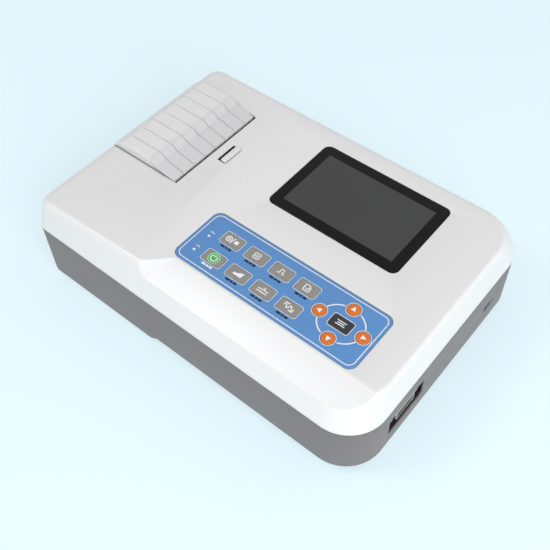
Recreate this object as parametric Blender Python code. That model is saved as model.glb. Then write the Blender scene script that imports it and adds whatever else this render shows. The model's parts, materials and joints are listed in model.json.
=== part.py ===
"""Desktop three-channel ECG recorder: a two-part case with a 5 inch display, a membrane keypad and a
clamshell thermal printer under a ribbed paper door. Metres, +Z up, +X along the long side to the user's
right, +Y to the back. The origin is under the middle of the case, on the surface that the feet stand on."""

import math

import bmesh
import bpy
from mathutils import Matrix, Vector

MM = 0.001
GAP = 0.3 * MM  # clearance kept between pieces that rest against each other

# Case
CASE_WIDTH = 338 * MM
CASE_DEPTH = 242.5 * MM
RIGHT_WALL_X = CASE_WIDTH / 2
LEFT_WALL_X = -RIGHT_WALL_X
BACK_WALL_Y = CASE_DEPTH / 2
FRONT_WALL_Y = -BACK_WALL_Y
TOP_Z = 86 * MM  # flat deck of the upper shell
PARTING_Z = 61 * MM
FLOOR_Z = 2 * MM  # underside of the deep, left-hand part of the lower shell
RAISED_FLOOR_Z = 11 * MM  # underside of the shallow, right-hand part
FLOOR_STEP_X = LEFT_WALL_X + 123 * MM
FLOOR_STEP_RUN = 12 * MM  # length of the slope between the two undersides
WALL = 2.5 * MM
RIGHT_CORNER_RADIUS = 34 * MM
LEFT_CORNER_RADIUS = 10 * MM
RIM_RADIUS = 1.2 * MM  # rounding of the deck's edge
LEFT_RIM_RADIUS = 5 * MM
BOTTOM_EDGE_RADIUS = 4 * MM
RIGHT_LEAN = 6 * MM  # how far the upper shell's right-hand side leans in between parting and deck
FRONT_LEAN = 13.5 * MM  # the same for the front, beside the wrist strip
FRONT_LEAN_LEFT = 9.2 * MM  # and for the front at the left-hand corner
BACK_LEAN = 13.2 * MM  # how far the rounded back falls away from the deck's back edge
BACK_BULGE = 1.6  # power of the back's curve
RIGHT_CORNER_SEGMENTS = 8
LEFT_CORNER_SEGMENTS = 3
CUT_PAST = 6 * MM  # how far a cutter runs past the face that it opens

# Sloping wrist strip along the front of the deck, and the facet that ends it
SLOPE_INSET = 34.3 * MM  # from the front of the case to the strip's back edge
SLOPE_DROP = 11.9 * MM  # how much lower the strip is above the front of the case
FACET_BACK_X = LEFT_WALL_X + 135 * MM
FACET_FRONT_X = LEFT_WALL_X + 113 * MM
FACET_TOE_X = LEFT_WALL_X + 125 * MM
FACET_TOE_DROP = 10 * MM

# Paper door, hinged along its left edge
DOOR_FRONT_Y = BACK_WALL_Y - 148.25 * MM
DOOR_BACK_Y = BACK_WALL_Y - 43.25 * MM
DOOR_END_X = LEFT_WALL_X + 76 * MM
DOOR_WALL = 2.5 * MM
DOOR_CHEEK = 2 * MM
DOOR_FOOT_DROP = 5 * MM  # how far the door's left-hand edge reaches below its hinge
DOOR_CREST_X = LEFT_WALL_X + 49 * MM
DOOR_CREST_RISE = 9.5 * MM  # height of the ribbed hump above the deck
DOOR_SHELF_X = LEFT_WALL_X + 58 * MM
DOOR_SHELF_RISE = 4.5 * MM
DOOR_LIP = 3 * MM
DOOR_SHOULDER_WIDTH = 16 * MM
DOOR_SHOULDER_HEIGHT = 15.3 * MM
DOOR_SHOULDER_POWER = 1.25
DOOR_GAP = 0.5 * MM
GROOVE_COUNT = 7
GROOVE_PITCH = 13.4 * MM
GROOVE_WIDTH = 1.4 * MM
GROOVE_DEPTH = 0.8 * MM
PAPER_SLOT = 1.6 * MM
HINGE_X = LEFT_WALL_X + 7.5 * MM
HINGE_Z = 77 * MM
HINGE_PIN_RADIUS = 1.5 * MM
HINGE_NOTCH = 10 * MM  # room below the hinge that the door's edge swings through
LUG_RADIUS = 3.6 * MM
LUG_WIDTH = 5 * MM

# Thermal printer
PLATEN_X = LEFT_WALL_X + 70.3 * MM
PLATEN_Z = 74 * MM
PLATEN_RADIUS = 5 * MM
PLATEN_SHAFT_RADIUS = 2 * MM
PLATEN_LENGTH = 80.5 * MM
HEAD_NIP = 0.6 * MM
HEAD_THICKNESS = 1.5 * MM
HEAD_HEIGHT = 11 * MM
SINK_THICKNESS = 2.8 * MM
HEAD_SPRING_LENGTH = 5.2 * MM
HEAD_SPRING_RADIUS = 2.4 * MM
SPRING_WIRE = 0.35 * MM
SPRING_TURNS = 4
BRACKET_THICKNESS = 2 * MM
GEAR_MODULE = 0.6 * MM
GEAR_WIDTH = 4 * MM
PLATEN_TEETH = 20
IDLER_TEETH = 30
PINION_TEETH = 12
PINION_ANGLE = math.radians(-35)  # from the idler's axis to the motor's
AXLE_RADIUS = 1.5 * MM
MOTOR_RADIUS = 14 * MM
MOTOR_LENGTH = 22 * MM
MOTOR_SHAFT_RADIUS = 1 * MM

# Paper bay
BAY_LEFT_X = LEFT_WALL_X + 6 * MM
BAY_RIGHT_X = LEFT_WALL_X + 59 * MM
BAY_WALL = 2 * MM
BAY_CHEEK_GAP = 2.7 * MM
BAY_FLOOR_Z = 24 * MM
BAY_RIM_Z = 70 * MM
BAY_LEFT_RIM_Z = 66 * MM
GEAR_PLATE_X = LEFT_WALL_X + 97 * MM
ROLL_X = LEFT_WALL_X + 33 * MM
ROLL_Z = 48 * MM
ROLL_RADIUS = 20 * MM
PAPER_WIDTH = 80 * MM
SPINDLE_RADIUS = 5.5 * MM
JOURNAL_RADIUS = 2.5 * MM

# Door release: a cap that slides away from the door, and the bar with two bolts that it carries
LATCH_X = LEFT_WALL_X + 89.7 * MM
LATCH_Y = BACK_WALL_Y - 94.65 * MM
LATCH_LENGTH = 21.2 * MM
LATCH_WIDTH = 6.6 * MM
LATCH_HEIGHT = 1.8 * MM
LATCH_TRAVEL = 3 * MM
LATCH_SLOT_LEFT = 2.2 * MM  # how much of the slot is open to the left of the cap
LATCH_STEM = 2.6 * MM
LATCH_BAR_WIDTH = 3.5 * MM
LATCH_BAR_HEIGHT = 2.5 * MM
LATCH_BAR_TOP_Z = 80 * MM
BOLT_TOP_Z = 78.6 * MM
BOLT_HEIGHT = 2.4 * MM
BOLT_REACH = 1 * MM  # how far each bolt stays from the door's cheek
CATCH_LENGTH = 3.2 * MM
CATCH_HEIGHT = 2.6 * MM

# Display
WINDOW_X = RIGHT_WALL_X - 122.2 * MM
WINDOW_Y = BACK_WALL_Y - 73.75 * MM
WINDOW_WIDTH = 127.6 * MM
WINDOW_DEPTH = 84.5 * MM
WINDOW_THICKNESS = 1.5 * MM
WINDOW_CORNER = 6 * MM
VIEW_WIDTH = 108 * MM
VIEW_DEPTH = 64.8 * MM
PANEL_WIDTH = 120.7 * MM
PANEL_DEPTH = 75.8 * MM
PANEL_THICKNESS = 3 * MM

# Keypad
KEYPAD_X = RIGHT_WALL_X - 121.5 * MM
KEYPAD_Y = FRONT_WALL_Y + 64.8 * MM
KEYPAD_WIDTH = 175 * MM
KEYPAD_DEPTH = 56.6 * MM
KEYPAD_CORNER = 7 * MM
OVERLAY_THICKNESS = 0.7 * MM
KEY_FIRST_X = KEYPAD_X - 57 * MM
KEY_PITCH_X = 25.1 * MM
KEY_BACK_Y = KEYPAD_Y + 10.45 * MM
KEY_FRONT_Y = KEYPAD_Y - 12.05 * MM
KEY_WIDTH = 18.4 * MM
KEY_DEPTH = 11.4 * MM
KEY_HEIGHT = 5 * MM
KEY_PROUD = 0.5 * MM
KEY_TRAVEL = 0.5 * MM
RING_X = KEYPAD_X + 57.5 * MM
RING_Y = KEYPAD_Y + 0.2 * MM
ARROW_REACH_X = 19.8 * MM
ARROW_REACH_Y = 16.1 * MM
ARROW_RADIUS = 5.4 * MM
CENTRE_WIDTH = 17.6 * MM
CENTRE_DEPTH = 11.2 * MM
LIGHT_X = KEYPAD_X - 76 * MM
LIGHT_YS = (KEYPAD_Y + 2.85 * MM, KEYPAD_Y - 14.65 * MM)
LIGHT_RADIUS = 1.2 * MM
MAT_THICKNESS = 1 * MM
BOARD_THICKNESS = 1.6 * MM

# Right-hand wall: patient lead connector in its recess, and the USB port
LEAD_Y = FRONT_WALL_Y + 64.25 * MM
LEAD_Z = 35 * MM
LEAD_RECESS_LENGTH = 46 * MM
LEAD_RECESS_HEIGHT = 21 * MM
LEAD_RECESS_DEPTH = 8.5 * MM
LEAD_FLANGE_LENGTH = 39.2 * MM
LEAD_FLANGE_HEIGHT = 12.5 * MM
LEAD_SHELL_LENGTH = 25 * MM
LEAD_SHELL_HEIGHT = 9.4 * MM
LEAD_SHELL_DEPTH = 6.2 * MM
LEAD_SHELL_WALL = 0.8 * MM
JACK_SPACING = 33.3 * MM
USB_Y = BACK_WALL_Y - 57.25 * MM
USB_Z = 33 * MM
USB_WIDTH = 14.4 * MM
USB_HEIGHT = 7 * MM
USB_DEPTH = 14 * MM
USB_WALL = 0.6 * MM

# Back wall: mains inlet, power switch and earth terminal
INLET_X = LEFT_WALL_X + 64 * MM
INLET_Z = 32 * MM
INLET_WIDTH = 27 * MM
INLET_HEIGHT = 20 * MM
INLET_DEPTH = 18 * MM
INLET_WALL = 2 * MM
SWITCH_X = LEFT_WALL_X + 103 * MM
SWITCH_WIDTH = 19 * MM
SWITCH_HEIGHT = 13 * MM
SWITCH_DEPTH = 13 * MM
SWITCH_WALL = 1.2 * MM
ROCKER_TILT = math.radians(7)
EARTH_X = LEFT_WALL_X + 131 * MM
EARTH_RADIUS = 3 * MM

# Under the case
FOOT_X = RIGHT_WALL_X - 31 * MM
FOOT_Y = BACK_WALL_Y - 29.25 * MM
FOOT_RADIUS = 8 * MM
FOOT_HEIGHT = FLOOR_Z - GAP
BATTERY_X = RIGHT_WALL_X - 101 * MM
BATTERY_Y = BACK_WALL_Y - 55.25 * MM
BATTERY_WIDTH = 76 * MM
BATTERY_DEPTH = 52 * MM
BATTERY_HEIGHT = 19 * MM
HATCH_MARGIN = 5 * MM
HATCH_THICKNESS = 2.2 * MM
HATCH_LEDGE = 3 * MM
SPEAKER_X = RIGHT_WALL_X - 51 * MM
SPEAKER_Y = FRONT_WALL_Y + 59.25 * MM
SPEAKER_RADIUS = 14 * MM
SPEAKER_HEIGHT = 5 * MM
MAIN_BOARD_LOW = Vector((LEFT_WALL_X + 109 * MM, FRONT_WALL_Y + 19.25 * MM))
MAIN_BOARD_HIGH = Vector((RIGHT_WALL_X - 21 * MM, BACK_WALL_Y - 91.25 * MM))
BOARD_STANDOFF = 8 * MM

# Small fits, margins and roundings
AXIS_MARK_SIZE = 5 * MM
JACK_HOLE_RADIUS = 1.8 * MM
CHEEK_UNDER_SHAFT = 2 * MM  # material of the door cheek below the platen shaft
CHEEK_PAST_PLATEN = 4 * MM  # from the platen's axis to the right-hand edge of the cheek
CHEEK_UNDER_LIP = 2 * MM
CHEEK_BEFORE_PLATEN = 5 * MM
CHEEK_BAY_CLEARANCE = 4 * MM
CHEEK_STEP = 3 * MM  # rise of the cheek's lower edge over the paper bay
CHEEK_PAST_HINGE = 8 * MM
CHEEK_HINGE_MARGIN = 4.5 * MM
CATCH_ROOT = 1 * MM  # how far the catch runs into the cheek
LUG_SLOT_RISE = 7 * MM  # from the hinge axis to the top of the slot that the lug swings in
LUG_NOTCH_RUN = 7 * MM
LUG_FLAT = 0.2 * MM  # how much narrower the lug's stem is than its eye
LUG_ROOT = 4 * MM
LUG_CORNER = 1.5 * MM
GEAR_END_GAP = 0.8 * MM  # between the platen rubber and its gear
AXLE_END = 1.5 * MM  # how far the idler axle runs past its gear
MOTOR_END_GAP = 2 * MM  # between the motor and its pinion
SHAFT_ROOT = 2 * MM  # how far the pinion's shaft runs into the motor
HEAD_ABOVE_PLATEN = 4 * MM
HEAD_CORNER = 0.5 * MM
SINK_CORNER = 0.4 * MM
BRACKET_REACH = 12 * MM  # half the length of the print head bracket
BRACKET_STEP = 0.5 * MM
SPRING_INSET = 12 * MM
SPINDLE_END_GAP = 0.5 * MM
STEM_MARGIN = 1 * MM
LATCH_CORNER = 0.7 * MM
LATCH_BAR_SETBACK = 0.4 * MM
BOLT_SIDE_GAP = 0.1 * MM
PANEL_CORNER = 1 * MM
MAT_MARGIN = 2 * MM
BOARD_CORNER = 3 * MM
KEY_CORNER = 1.2 * MM
LEAD_FLANGE_THICKNESS = 1 * MM
LEAD_FLANGE_CORNER = 2 * MM
LEAD_SHELL_CORNER = 2.5 * MM
LEAD_BORE_CORNER = 1.7 * MM
JACK_BORE_RADIUS = 1.5 * MM
LEAD_INSERT_DEPTH = 5 * MM  # how far the insert runs back from the flange
LEAD_INSERT_CORNER = 1.5 * MM
JACK_HEX_LENGTH = 4.8 * MM
JACK_HEX_RADIUS = 2.7 * MM
JACK_STUD_BACK = 4 * MM
JACK_STUD_FRONT = 2 * MM
INLET_CORNER = 2 * MM
ROCKER_DEPTH = 3.5 * MM
ROCKER_PROUD = 1.2 * MM
ROCKER_CORNER = 0.8 * MM
EARTH_POST_LENGTH = 8 * MM
EARTH_NUT_DEPTH = 6 * MM
EARTH_NUT_RADIUS = 5 * MM
HATCH_CORNER = 6 * MM
BATTERY_CLEARANCE = 1 * MM
POWER_BOARD_RISE = 4 * MM
ROCKER_AXIS_DEPTH = 2 * MM

DECK_UNDER_Z = TOP_Z - WALL
SLOPE_START_Y = SLOPE_INSET - CASE_DEPTH / 2
DOOR_FOOT_Z = HINGE_Z - DOOR_FOOT_DROP
DOOR_MID_Y = (DOOR_FRONT_Y + DOOR_BACK_Y) / 2
OPENING_X = DOOR_END_X + PAPER_SLOT
BAY_FRONT_Y = DOOR_FRONT_Y + DOOR_CHEEK + BAY_CHEEK_GAP
BAY_BACK_Y = DOOR_BACK_Y - DOOR_CHEEK - BAY_CHEEK_GAP
PAPER_MID_Y = (BAY_FRONT_Y + BAY_BACK_Y) / 2
INNER_FLOOR_Z = FLOOR_Z + WALL
RAISED_INNER_Z = RAISED_FLOOR_Z + WALL

# name: (sRGB colour, roughness, metallic)
FINISHES = {
    "white_abs": ((0.87, 0.87, 0.88), 0.42, 0.0),
    "grey_abs": ((0.53, 0.53, 0.54), 0.5, 0.0),
    "black_gloss": ((0.1, 0.1, 0.1), 0.15, 0.0),
    "panel_grey": ((0.32, 0.32, 0.32), 0.25, 0.0),
    "blue_film": ((0.37, 0.58, 0.82), 0.4, 0.0),
    "key_grey": ((0.59, 0.57, 0.55), 0.5, 0.0),
    "key_orange": ((0.87, 0.4, 0.1), 0.45, 0.0),
    "key_dark": ((0.18, 0.18, 0.2), 0.45, 0.0),
    "lens_white": ((0.9, 0.95, 1.0), 0.2, 0.0),
    "steel": ((0.72, 0.72, 0.73), 0.3, 1.0),
    "aluminium": ((0.77, 0.78, 0.79), 0.35, 1.0),
    "ceramic": ((0.85, 0.84, 0.8), 0.3, 0.0),
    "rubber": ((0.08, 0.08, 0.08), 0.8, 0.0),
    "acetal": ((0.86, 0.85, 0.8), 0.4, 0.0),
    "paper": ((0.93, 0.93, 0.9), 0.9, 0.0),
    "board_green": ((0.08, 0.3, 0.16), 0.45, 0.0),
    "black_pbt": ((0.07, 0.07, 0.07), 0.45, 0.0),
    "battery_blue": ((0.15, 0.25, 0.5), 0.4, 0.0),
}


def clear_scene():
    for obj in list(bpy.data.objects):
        bpy.data.objects.remove(obj, do_unlink=True)


def make_collection(name):
    collection = bpy.data.collections.new(name)
    bpy.context.scene.collection.children.link(collection)
    return collection


def finish_material(name):
    """The Principled material of one finish, made once."""
    if name in bpy.data.materials:
        return bpy.data.materials[name]
    colour, roughness, metallic = FINISHES[name]
    material = bpy.data.materials.new(name)
    material.use_nodes = True
    shader = material.node_tree.nodes["Principled BSDF"]
    shader.inputs["Base Color"].default_value = (*(c**2.2 for c in colour), 1)
    shader.inputs["Roughness"].default_value = roughness
    shader.inputs["Metallic"].default_value = metallic
    return material


def place(name, data, finish=None, location=(0, 0, 0), parent=None):
    """Puts mesh or curve data in the scene: a sub-part where it has a finish, otherwise a cutter."""
    obj = bpy.data.objects.new(name, data)
    obj.location = location
    if finish:
        PARTS.objects.link(obj)
        data.materials.append(finish_material(finish))
    else:
        CUTTERS.objects.link(obj)
        obj.hide_render = True
        obj.display_type = "WIRE"
    if parent:
        obj.parent = parent
        obj.matrix_parent_inverse = Matrix.Translation(parent.location).inverted()
    return obj


def mesh_of(name, bm, smooth=False):
    """Turns a bmesh into mesh data, with round sides shaded smooth."""
    bmesh.ops.recalc_face_normals(bm, faces=bm.faces)
    mesh = bpy.data.meshes.new(name)
    bm.to_mesh(mesh)
    bm.free()
    if smooth:
        mesh.shade_smooth()
        mesh.set_sharp_from_angle(angle=math.radians(35))
    return mesh


def edges_along(bm, verts, axis):
    """The edges between these vertices that run along one axis."""
    chosen = set(verts)
    found = []
    for edge in bm.edges:
        if edge.verts[0] in chosen and edge.verts[1] in chosen:
            run = edge.verts[0].co - edge.verts[1].co
            if all(abs(run[k]) < 1e-7 for k in range(3) if k != axis):
                found.append(edge)
    return found


def add_block(bm, low, high, corner=0.0, axis=2, segments=4):
    """A box between two corners. Its edges along one axis are rounded where corner isn't 0."""
    low = Vector(low)
    high = Vector(high)
    size = high - low
    matrix = Matrix.Translation((low + high) / 2) @ Matrix.Diagonal((*size, 1))
    verts = bmesh.ops.create_cube(bm, size=1, matrix=matrix)["verts"]
    if corner:
        edges = edges_along(bm, verts, axis)
        bmesh.ops.bevel(
            bm, geom=edges, offset=corner, segments=segments, profile=0.5, affect="EDGES"
        )


def add_rod(bm, start, end, radius, segments=24, end_radius=None):
    """A cylinder, or a cone frustum, from one point to another."""
    start = Vector(start)
    end = Vector(end)
    run = end - start
    turn = run.to_track_quat("Z", "Y").to_matrix().to_4x4()
    bmesh.ops.create_cone(
        bm,
        cap_ends=True,
        segments=segments,
        radius1=radius,
        radius2=radius if end_radius is None else end_radius,
        depth=run.length,
        matrix=Matrix.Translation((start + end) / 2) @ turn,
    )


def block(name, low, high, finish=None, corner=0.0, axis=2, segments=4, parent=None):
    bm = bmesh.new()
    add_block(bm, low, high, corner, axis, segments)
    return place(name, mesh_of(name, bm, corner > 0), finish, parent=parent)


def rod(name, start, end, radius, finish=None, segments=24, parent=None):
    bm = bmesh.new()
    add_rod(bm, start, end, radius, segments)
    return place(name, mesh_of(name, bm, True), finish, parent=parent)


def pivot(name, location):
    """An empty on a joint's axis, which carries the pieces that turn or slide on it."""
    empty = bpy.data.objects.new(name, None)
    empty.location = location
    empty.empty_display_size = AXIS_MARK_SIZE
    PARTS.objects.link(empty)
    return empty


def apply_boolean(obj, other, operation="DIFFERENCE"):
    modifier = obj.modifiers.new(f"{operation.lower()}_{other.name}", "BOOLEAN")
    modifier.operation = operation
    modifier.object = other
    modifier.solver = "EXACT"


def add_prism(bm, outline, front_y, back_y):
    """An outline in X and Z, drawn out along Y."""
    verts = [bm.verts.new((x, front_y, z)) for x, z in outline]
    face = bm.faces.new(verts)
    moved = bmesh.ops.extrude_face_region(bm, geom=[face])["geom"]
    ends = [v for v in moved if isinstance(v, bmesh.types.BMVert)]
    bmesh.ops.translate(bm, verts=ends, vec=(0, back_y - front_y, 0))


def prism_along_y(name, outline, front_y, back_y, finish=None, parent=None):
    bm = bmesh.new()
    add_prism(bm, outline, front_y, back_y)
    return place(name, mesh_of(name, bm, True), finish, parent=parent)


def front_lean(x):
    """How far the front leans in at deck height, which grows from the left corner to the facet."""
    share = (x + CASE_WIDTH / 2) / (FACET_FRONT_X + CASE_WIDTH / 2)
    return FRONT_LEAN_LEFT + (FRONT_LEAN - FRONT_LEAN_LEFT) * min(max(share, 0), 1)


def case_outline(z, inset):
    """The case's outline in plan at height z, drawn in by inset: upright up to the parting, and
    leaning in above it by a different amount on every side."""
    up = min(max((z - PARTING_Z) / (TOP_Z - PARTING_Z), 0), 1)
    turn = min(max((z - TOP_Z + LEFT_RIM_RADIUS) / LEFT_RIM_RADIUS, 0), 1)
    left = -CASE_WIDTH / 2 + inset + LEFT_RIM_RADIUS * (1 - math.sqrt(1 - turn * turn))
    right = CASE_WIDTH / 2 - inset - RIGHT_LEAN * up
    back = CASE_DEPTH / 2 - inset - BACK_LEAN * up**BACK_BULGE
    front = -CASE_DEPTH / 2 + inset
    left_front = front + FRONT_LEAN_LEFT * up
    right_front = front + FRONT_LEAN * up
    right_radius = RIGHT_CORNER_RADIUS - inset
    left_radius = LEFT_CORNER_RADIUS - inset
    corners = (
        (right - right_radius, right_front + right_radius, right_radius, -90, RIGHT_CORNER_SEGMENTS),
        (right - right_radius, back - right_radius, right_radius, 0, RIGHT_CORNER_SEGMENTS),
        (left + left_radius, back - left_radius, left_radius, 90, LEFT_CORNER_SEGMENTS),
        (left + left_radius, left_front + left_radius, left_radius, 180, LEFT_CORNER_SEGMENTS),
    )
    points = []
    for x, y, radius, start, segments in corners:
        for k in range(segments + 1):
            angle = math.radians(start + 90 * k / segments)
            points.append((x + radius * math.cos(angle), y + radius * math.sin(angle)))
    points.append((FACET_FRONT_X, front + front_lean(FACET_FRONT_X) * up))
    return points


def case_form(name, levels, finish=None):
    """A closed form through the case's outlines. Each level is (height, height whose outline it
    takes, inset)."""
    bm = bmesh.new()
    rings = []
    for z, outline_z, inset in levels:
        rings.append([bm.verts.new((x, y, z)) for x, y in case_outline(outline_z, inset)])
    for below, above in zip(rings, rings[1:]):
        for k, vert in enumerate(below):
            after = (k + 1) % len(below)
            bm.faces.new((vert, below[after], above[after], above[k]))
    bm.faces.new(list(reversed(rings[0])))
    bm.faces.new(rings[-1])
    return place(name, mesh_of(name, bm, True), finish)


def rim_levels(top_z):
    """The levels of the upper shell's outside, from the parting to the rounded edge of the deck."""
    levels = [(PARTING_Z, PARTING_Z, 0)]
    rim_z = top_z - RIM_RADIUS
    for share in (0.25, 0.5, 0.7, 0.85, 1):
        z = PARTING_Z + share * (rim_z - PARTING_Z)
        levels.append((z, z, 0))
    for angle in (45, 90):
        rise = RIM_RADIUS * math.sin(math.radians(angle))
        inset = RIM_RADIUS * (1 - math.cos(math.radians(angle)))
        levels.append((rim_z + rise, rim_z + rise, inset))
    return levels


def slope_cutter(name, lower):
    """The space above the sloping wrist strip: above the strip's plane and above the end facet's plane.
    It is moved down by lower, so that the same form hollows the shell from inside."""
    bm = bmesh.new()
    front_y = -CASE_DEPTH / 2
    run = SLOPE_START_Y - front_y
    reach = 3 * run
    angle = math.atan2(SLOPE_DROP, run)
    add_block(bm, (-CASE_WIDTH, -reach, 0), (CASE_WIDTH, 0, reach))
    bmesh.ops.rotate(bm, verts=bm.verts, cent=(0, 0, 0), matrix=Matrix.Rotation(angle, 3, "X"))
    bmesh.ops.translate(bm, verts=bm.verts, vec=(0, SLOPE_START_Y, TOP_Z))
    front_corner = Vector((FACET_FRONT_X, front_y + FRONT_LEAN, TOP_Z))
    back_corner = Vector((FACET_BACK_X, SLOPE_START_Y, TOP_Z))
    toe_share = 1 - FACET_TOE_DROP / (TOP_Z - PARTING_Z)
    toe_y = front_y + FRONT_LEAN * toe_share
    toe = Vector((FACET_TOE_X, toe_y, TOP_Z - FACET_TOE_DROP))
    normal = (back_corner - front_corner).cross(toe - front_corner)
    if normal.z < 0:
        normal.negate()
    cut = bmesh.ops.bisect_plane(
        bm,
        geom=list(bm.verts) + list(bm.edges) + list(bm.faces),
        plane_co=front_corner,
        plane_no=normal,
        clear_inner=True,
    )
    rim = [e for e in cut["geom_cut"] if isinstance(e, bmesh.types.BMEdge)]
    bmesh.ops.edgeloop_fill(bm, edges=rim)
    bmesh.ops.translate(bm, verts=bm.verts, vec=(0, 0, -lower))
    return place(name, mesh_of(name, bm))


def key_places():
    """Every square key as (name, x, y), back row first."""
    names = (
        ("key_start_stop", "key_mode", "key_calibrate", "key_home"),
        ("key_power", "key_record", "key_lead", "key_filter"),
    )
    for row, y in zip(names, (KEY_BACK_Y, KEY_FRONT_Y)):
        for column, name in enumerate(row):
            yield name, KEY_FIRST_X + column * KEY_PITCH_X, y


def arrow_places():
    """Every arrow key as (name, x, y)."""
    yield "key_left", RING_X - ARROW_REACH_X, RING_Y
    yield "key_right", RING_X + ARROW_REACH_X, RING_Y
    yield "key_up", RING_X, RING_Y + ARROW_REACH_Y
    yield "key_down", RING_X, RING_Y - ARROW_REACH_Y


def keypad_holes(name, clearance, low_z, high_z):
    """One cutter with a hole for every key and indicator, wider than each by clearance."""
    bm = bmesh.new()
    half = Vector((KEY_WIDTH / 2 + clearance, KEY_DEPTH / 2 + clearance))
    for _, x, y in key_places():
        add_block(bm, (x - half.x, y - half.y, low_z), (x + half.x, y + half.y, high_z))
    half = Vector((CENTRE_WIDTH / 2 + clearance, CENTRE_DEPTH / 2 + clearance))
    add_block(
        bm, (RING_X - half.x, RING_Y - half.y, low_z), (RING_X + half.x, RING_Y + half.y, high_z)
    )
    for _, x, y in arrow_places():
        add_rod(bm, (x, y, low_z), (x, y, high_z), ARROW_RADIUS + clearance, 20)
    for y in LIGHT_YS:
        add_rod(bm, (LIGHT_X, y, low_z), (LIGHT_X, y, high_z), LIGHT_RADIUS + clearance, 12)
    return place(name, mesh_of(name, bm))


def centred(centre_x, centre_y, width, depth, low_z, high_z, grow=0.0):
    """The low and high corners of a box around a centre, wider by grow on each side."""
    half_width = width / 2 + grow
    half_depth = depth / 2 + grow
    return (
        (centre_x - half_width, centre_y - half_depth, low_z),
        (centre_x + half_width, centre_y + half_depth, high_z),
    )


def make_top_shell():
    shell = case_form("top_shell", rim_levels(TOP_Z), "white_abs")
    inner = [(PARTING_Z - CUT_PAST, PARTING_Z, WALL)]
    inner += [(z - WALL, z, WALL) for z, _, inset in rim_levels(TOP_Z)[1:] if inset == 0]
    inner.append((DECK_UNDER_Z, TOP_Z, WALL + RIM_RADIUS))
    hollow = case_form("top_shell_hollow", inner)
    apply_boolean(hollow, slope_cutter("slope_inside", WALL))
    apply_boolean(shell, slope_cutter("slope_outside", 0))
    apply_boolean(shell, hollow)
    door_opening = block(
        "door_opening",
        (-CASE_WIDTH, DOOR_FRONT_Y - DOOR_GAP, HINGE_Z - HINGE_NOTCH),
        (OPENING_X, DOOR_BACK_Y + DOOR_GAP, TOP_Z + CUT_PAST),
    )
    apply_boolean(shell, door_opening)
    recess_z = TOP_Z - WINDOW_THICKNESS - GAP
    window_recess = block(
        "window_recess",
        *centred(WINDOW_X, WINDOW_Y, WINDOW_WIDTH, WINDOW_DEPTH, recess_z, TOP_Z + CUT_PAST, GAP),
        corner=WINDOW_CORNER,
    )
    apply_boolean(shell, window_recess)
    view = centred(
        WINDOW_X, WINDOW_Y, VIEW_WIDTH, VIEW_DEPTH, DECK_UNDER_Z - CUT_PAST, recess_z + CUT_PAST, GAP
    )
    apply_boolean(shell, block("view_opening", *view))
    overlay_z = TOP_Z - OVERLAY_THICKNESS - GAP
    keypad = centred(
        KEYPAD_X, KEYPAD_Y, KEYPAD_WIDTH, KEYPAD_DEPTH, overlay_z, TOP_Z + CUT_PAST, GAP
    )
    apply_boolean(shell, block("keypad_recess", *keypad, corner=KEYPAD_CORNER))
    holes = keypad_holes("keypad_holes", GAP, DECK_UNDER_Z - CUT_PAST, TOP_Z + CUT_PAST)
    apply_boolean(shell, holes)
    slot_half = LATCH_LENGTH / 2 + GAP
    latch_slot = block(
        "latch_slot",
        (LATCH_X - LATCH_SLOT_LEFT, LATCH_Y - slot_half, DECK_UNDER_Z - CUT_PAST),
        (LATCH_X + LATCH_STEM + LATCH_TRAVEL + 3 * GAP, LATCH_Y + slot_half, TOP_Z + CUT_PAST),
    )
    apply_boolean(shell, latch_slot)
    return shell


def lead_recess_block(name, grow, mouth_x, finish=None):
    """The box of the patient lead connector's recess, grown on every side but its mouth."""
    half_length = LEAD_RECESS_LENGTH / 2 + grow
    half_height = LEAD_RECESS_HEIGHT / 2 + grow
    back_x = RIGHT_WALL_X - LEAD_RECESS_DEPTH - grow
    return block(
        name,
        (back_x, LEAD_Y - half_length, LEAD_Z - half_height),
        (mouth_x, LEAD_Y + half_length, LEAD_Z + half_height),
        finish,
    )


def make_bottom_shell():
    shell = case_form("bottom_shell", base_levels(FLOOR_Z, 0, PARTING_Z - GAP), "grey_abs")
    apply_boolean(shell, raised_cutter("floor_undercut", 0))
    hollow = case_form(
        "bottom_shell_hollow", base_levels(INNER_FLOOR_Z, WALL, PARTING_Z + CUT_PAST)
    )
    apply_boolean(hollow, raised_cutter("raised_floor_fill", WALL))
    apply_boolean(shell, hollow)
    apply_boolean(shell, foot_bosses(), "UNION")
    apply_boolean(shell, lead_recess_block("lead_recess_box", WALL, RIGHT_WALL_X - WALL / 2), "UNION")
    apply_boolean(shell, lead_recess_block("lead_recess_hollow", 0, RIGHT_WALL_X + CUT_PAST))
    apply_boolean(shell, wall_openings())
    hatch_low, hatch_high = hatch_corners(GAP)
    apply_boolean(
        shell,
        block(
            "hatch_recess",
            (*hatch_low, RAISED_FLOOR_Z - CUT_PAST),
            (*hatch_high, RAISED_FLOOR_Z + HATCH_THICKNESS / 2 + GAP),
        ),
    )
    bay_low, bay_high = hatch_corners(-HATCH_LEDGE)
    apply_boolean(
        shell,
        block(
            "battery_opening",
            (*bay_low, RAISED_FLOOR_Z - CUT_PAST),
            (*bay_high, RAISED_INNER_Z + CUT_PAST),
        ),
    )
    return shell


def base_levels(floor_z, inset, top_z):
    """The levels of the lower shell: a rounded bottom edge and then upright walls."""
    radius = BOTTOM_EDGE_RADIUS - inset
    levels = []
    for angle in (0, 30, 60, 90):
        turn = math.radians(angle)
        rise = radius * (1 - math.cos(turn))
        levels.append((floor_z + rise, PARTING_Z, inset + radius * (1 - math.sin(turn))))
    levels.append((top_z, PARTING_Z, inset))
    return levels


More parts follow.
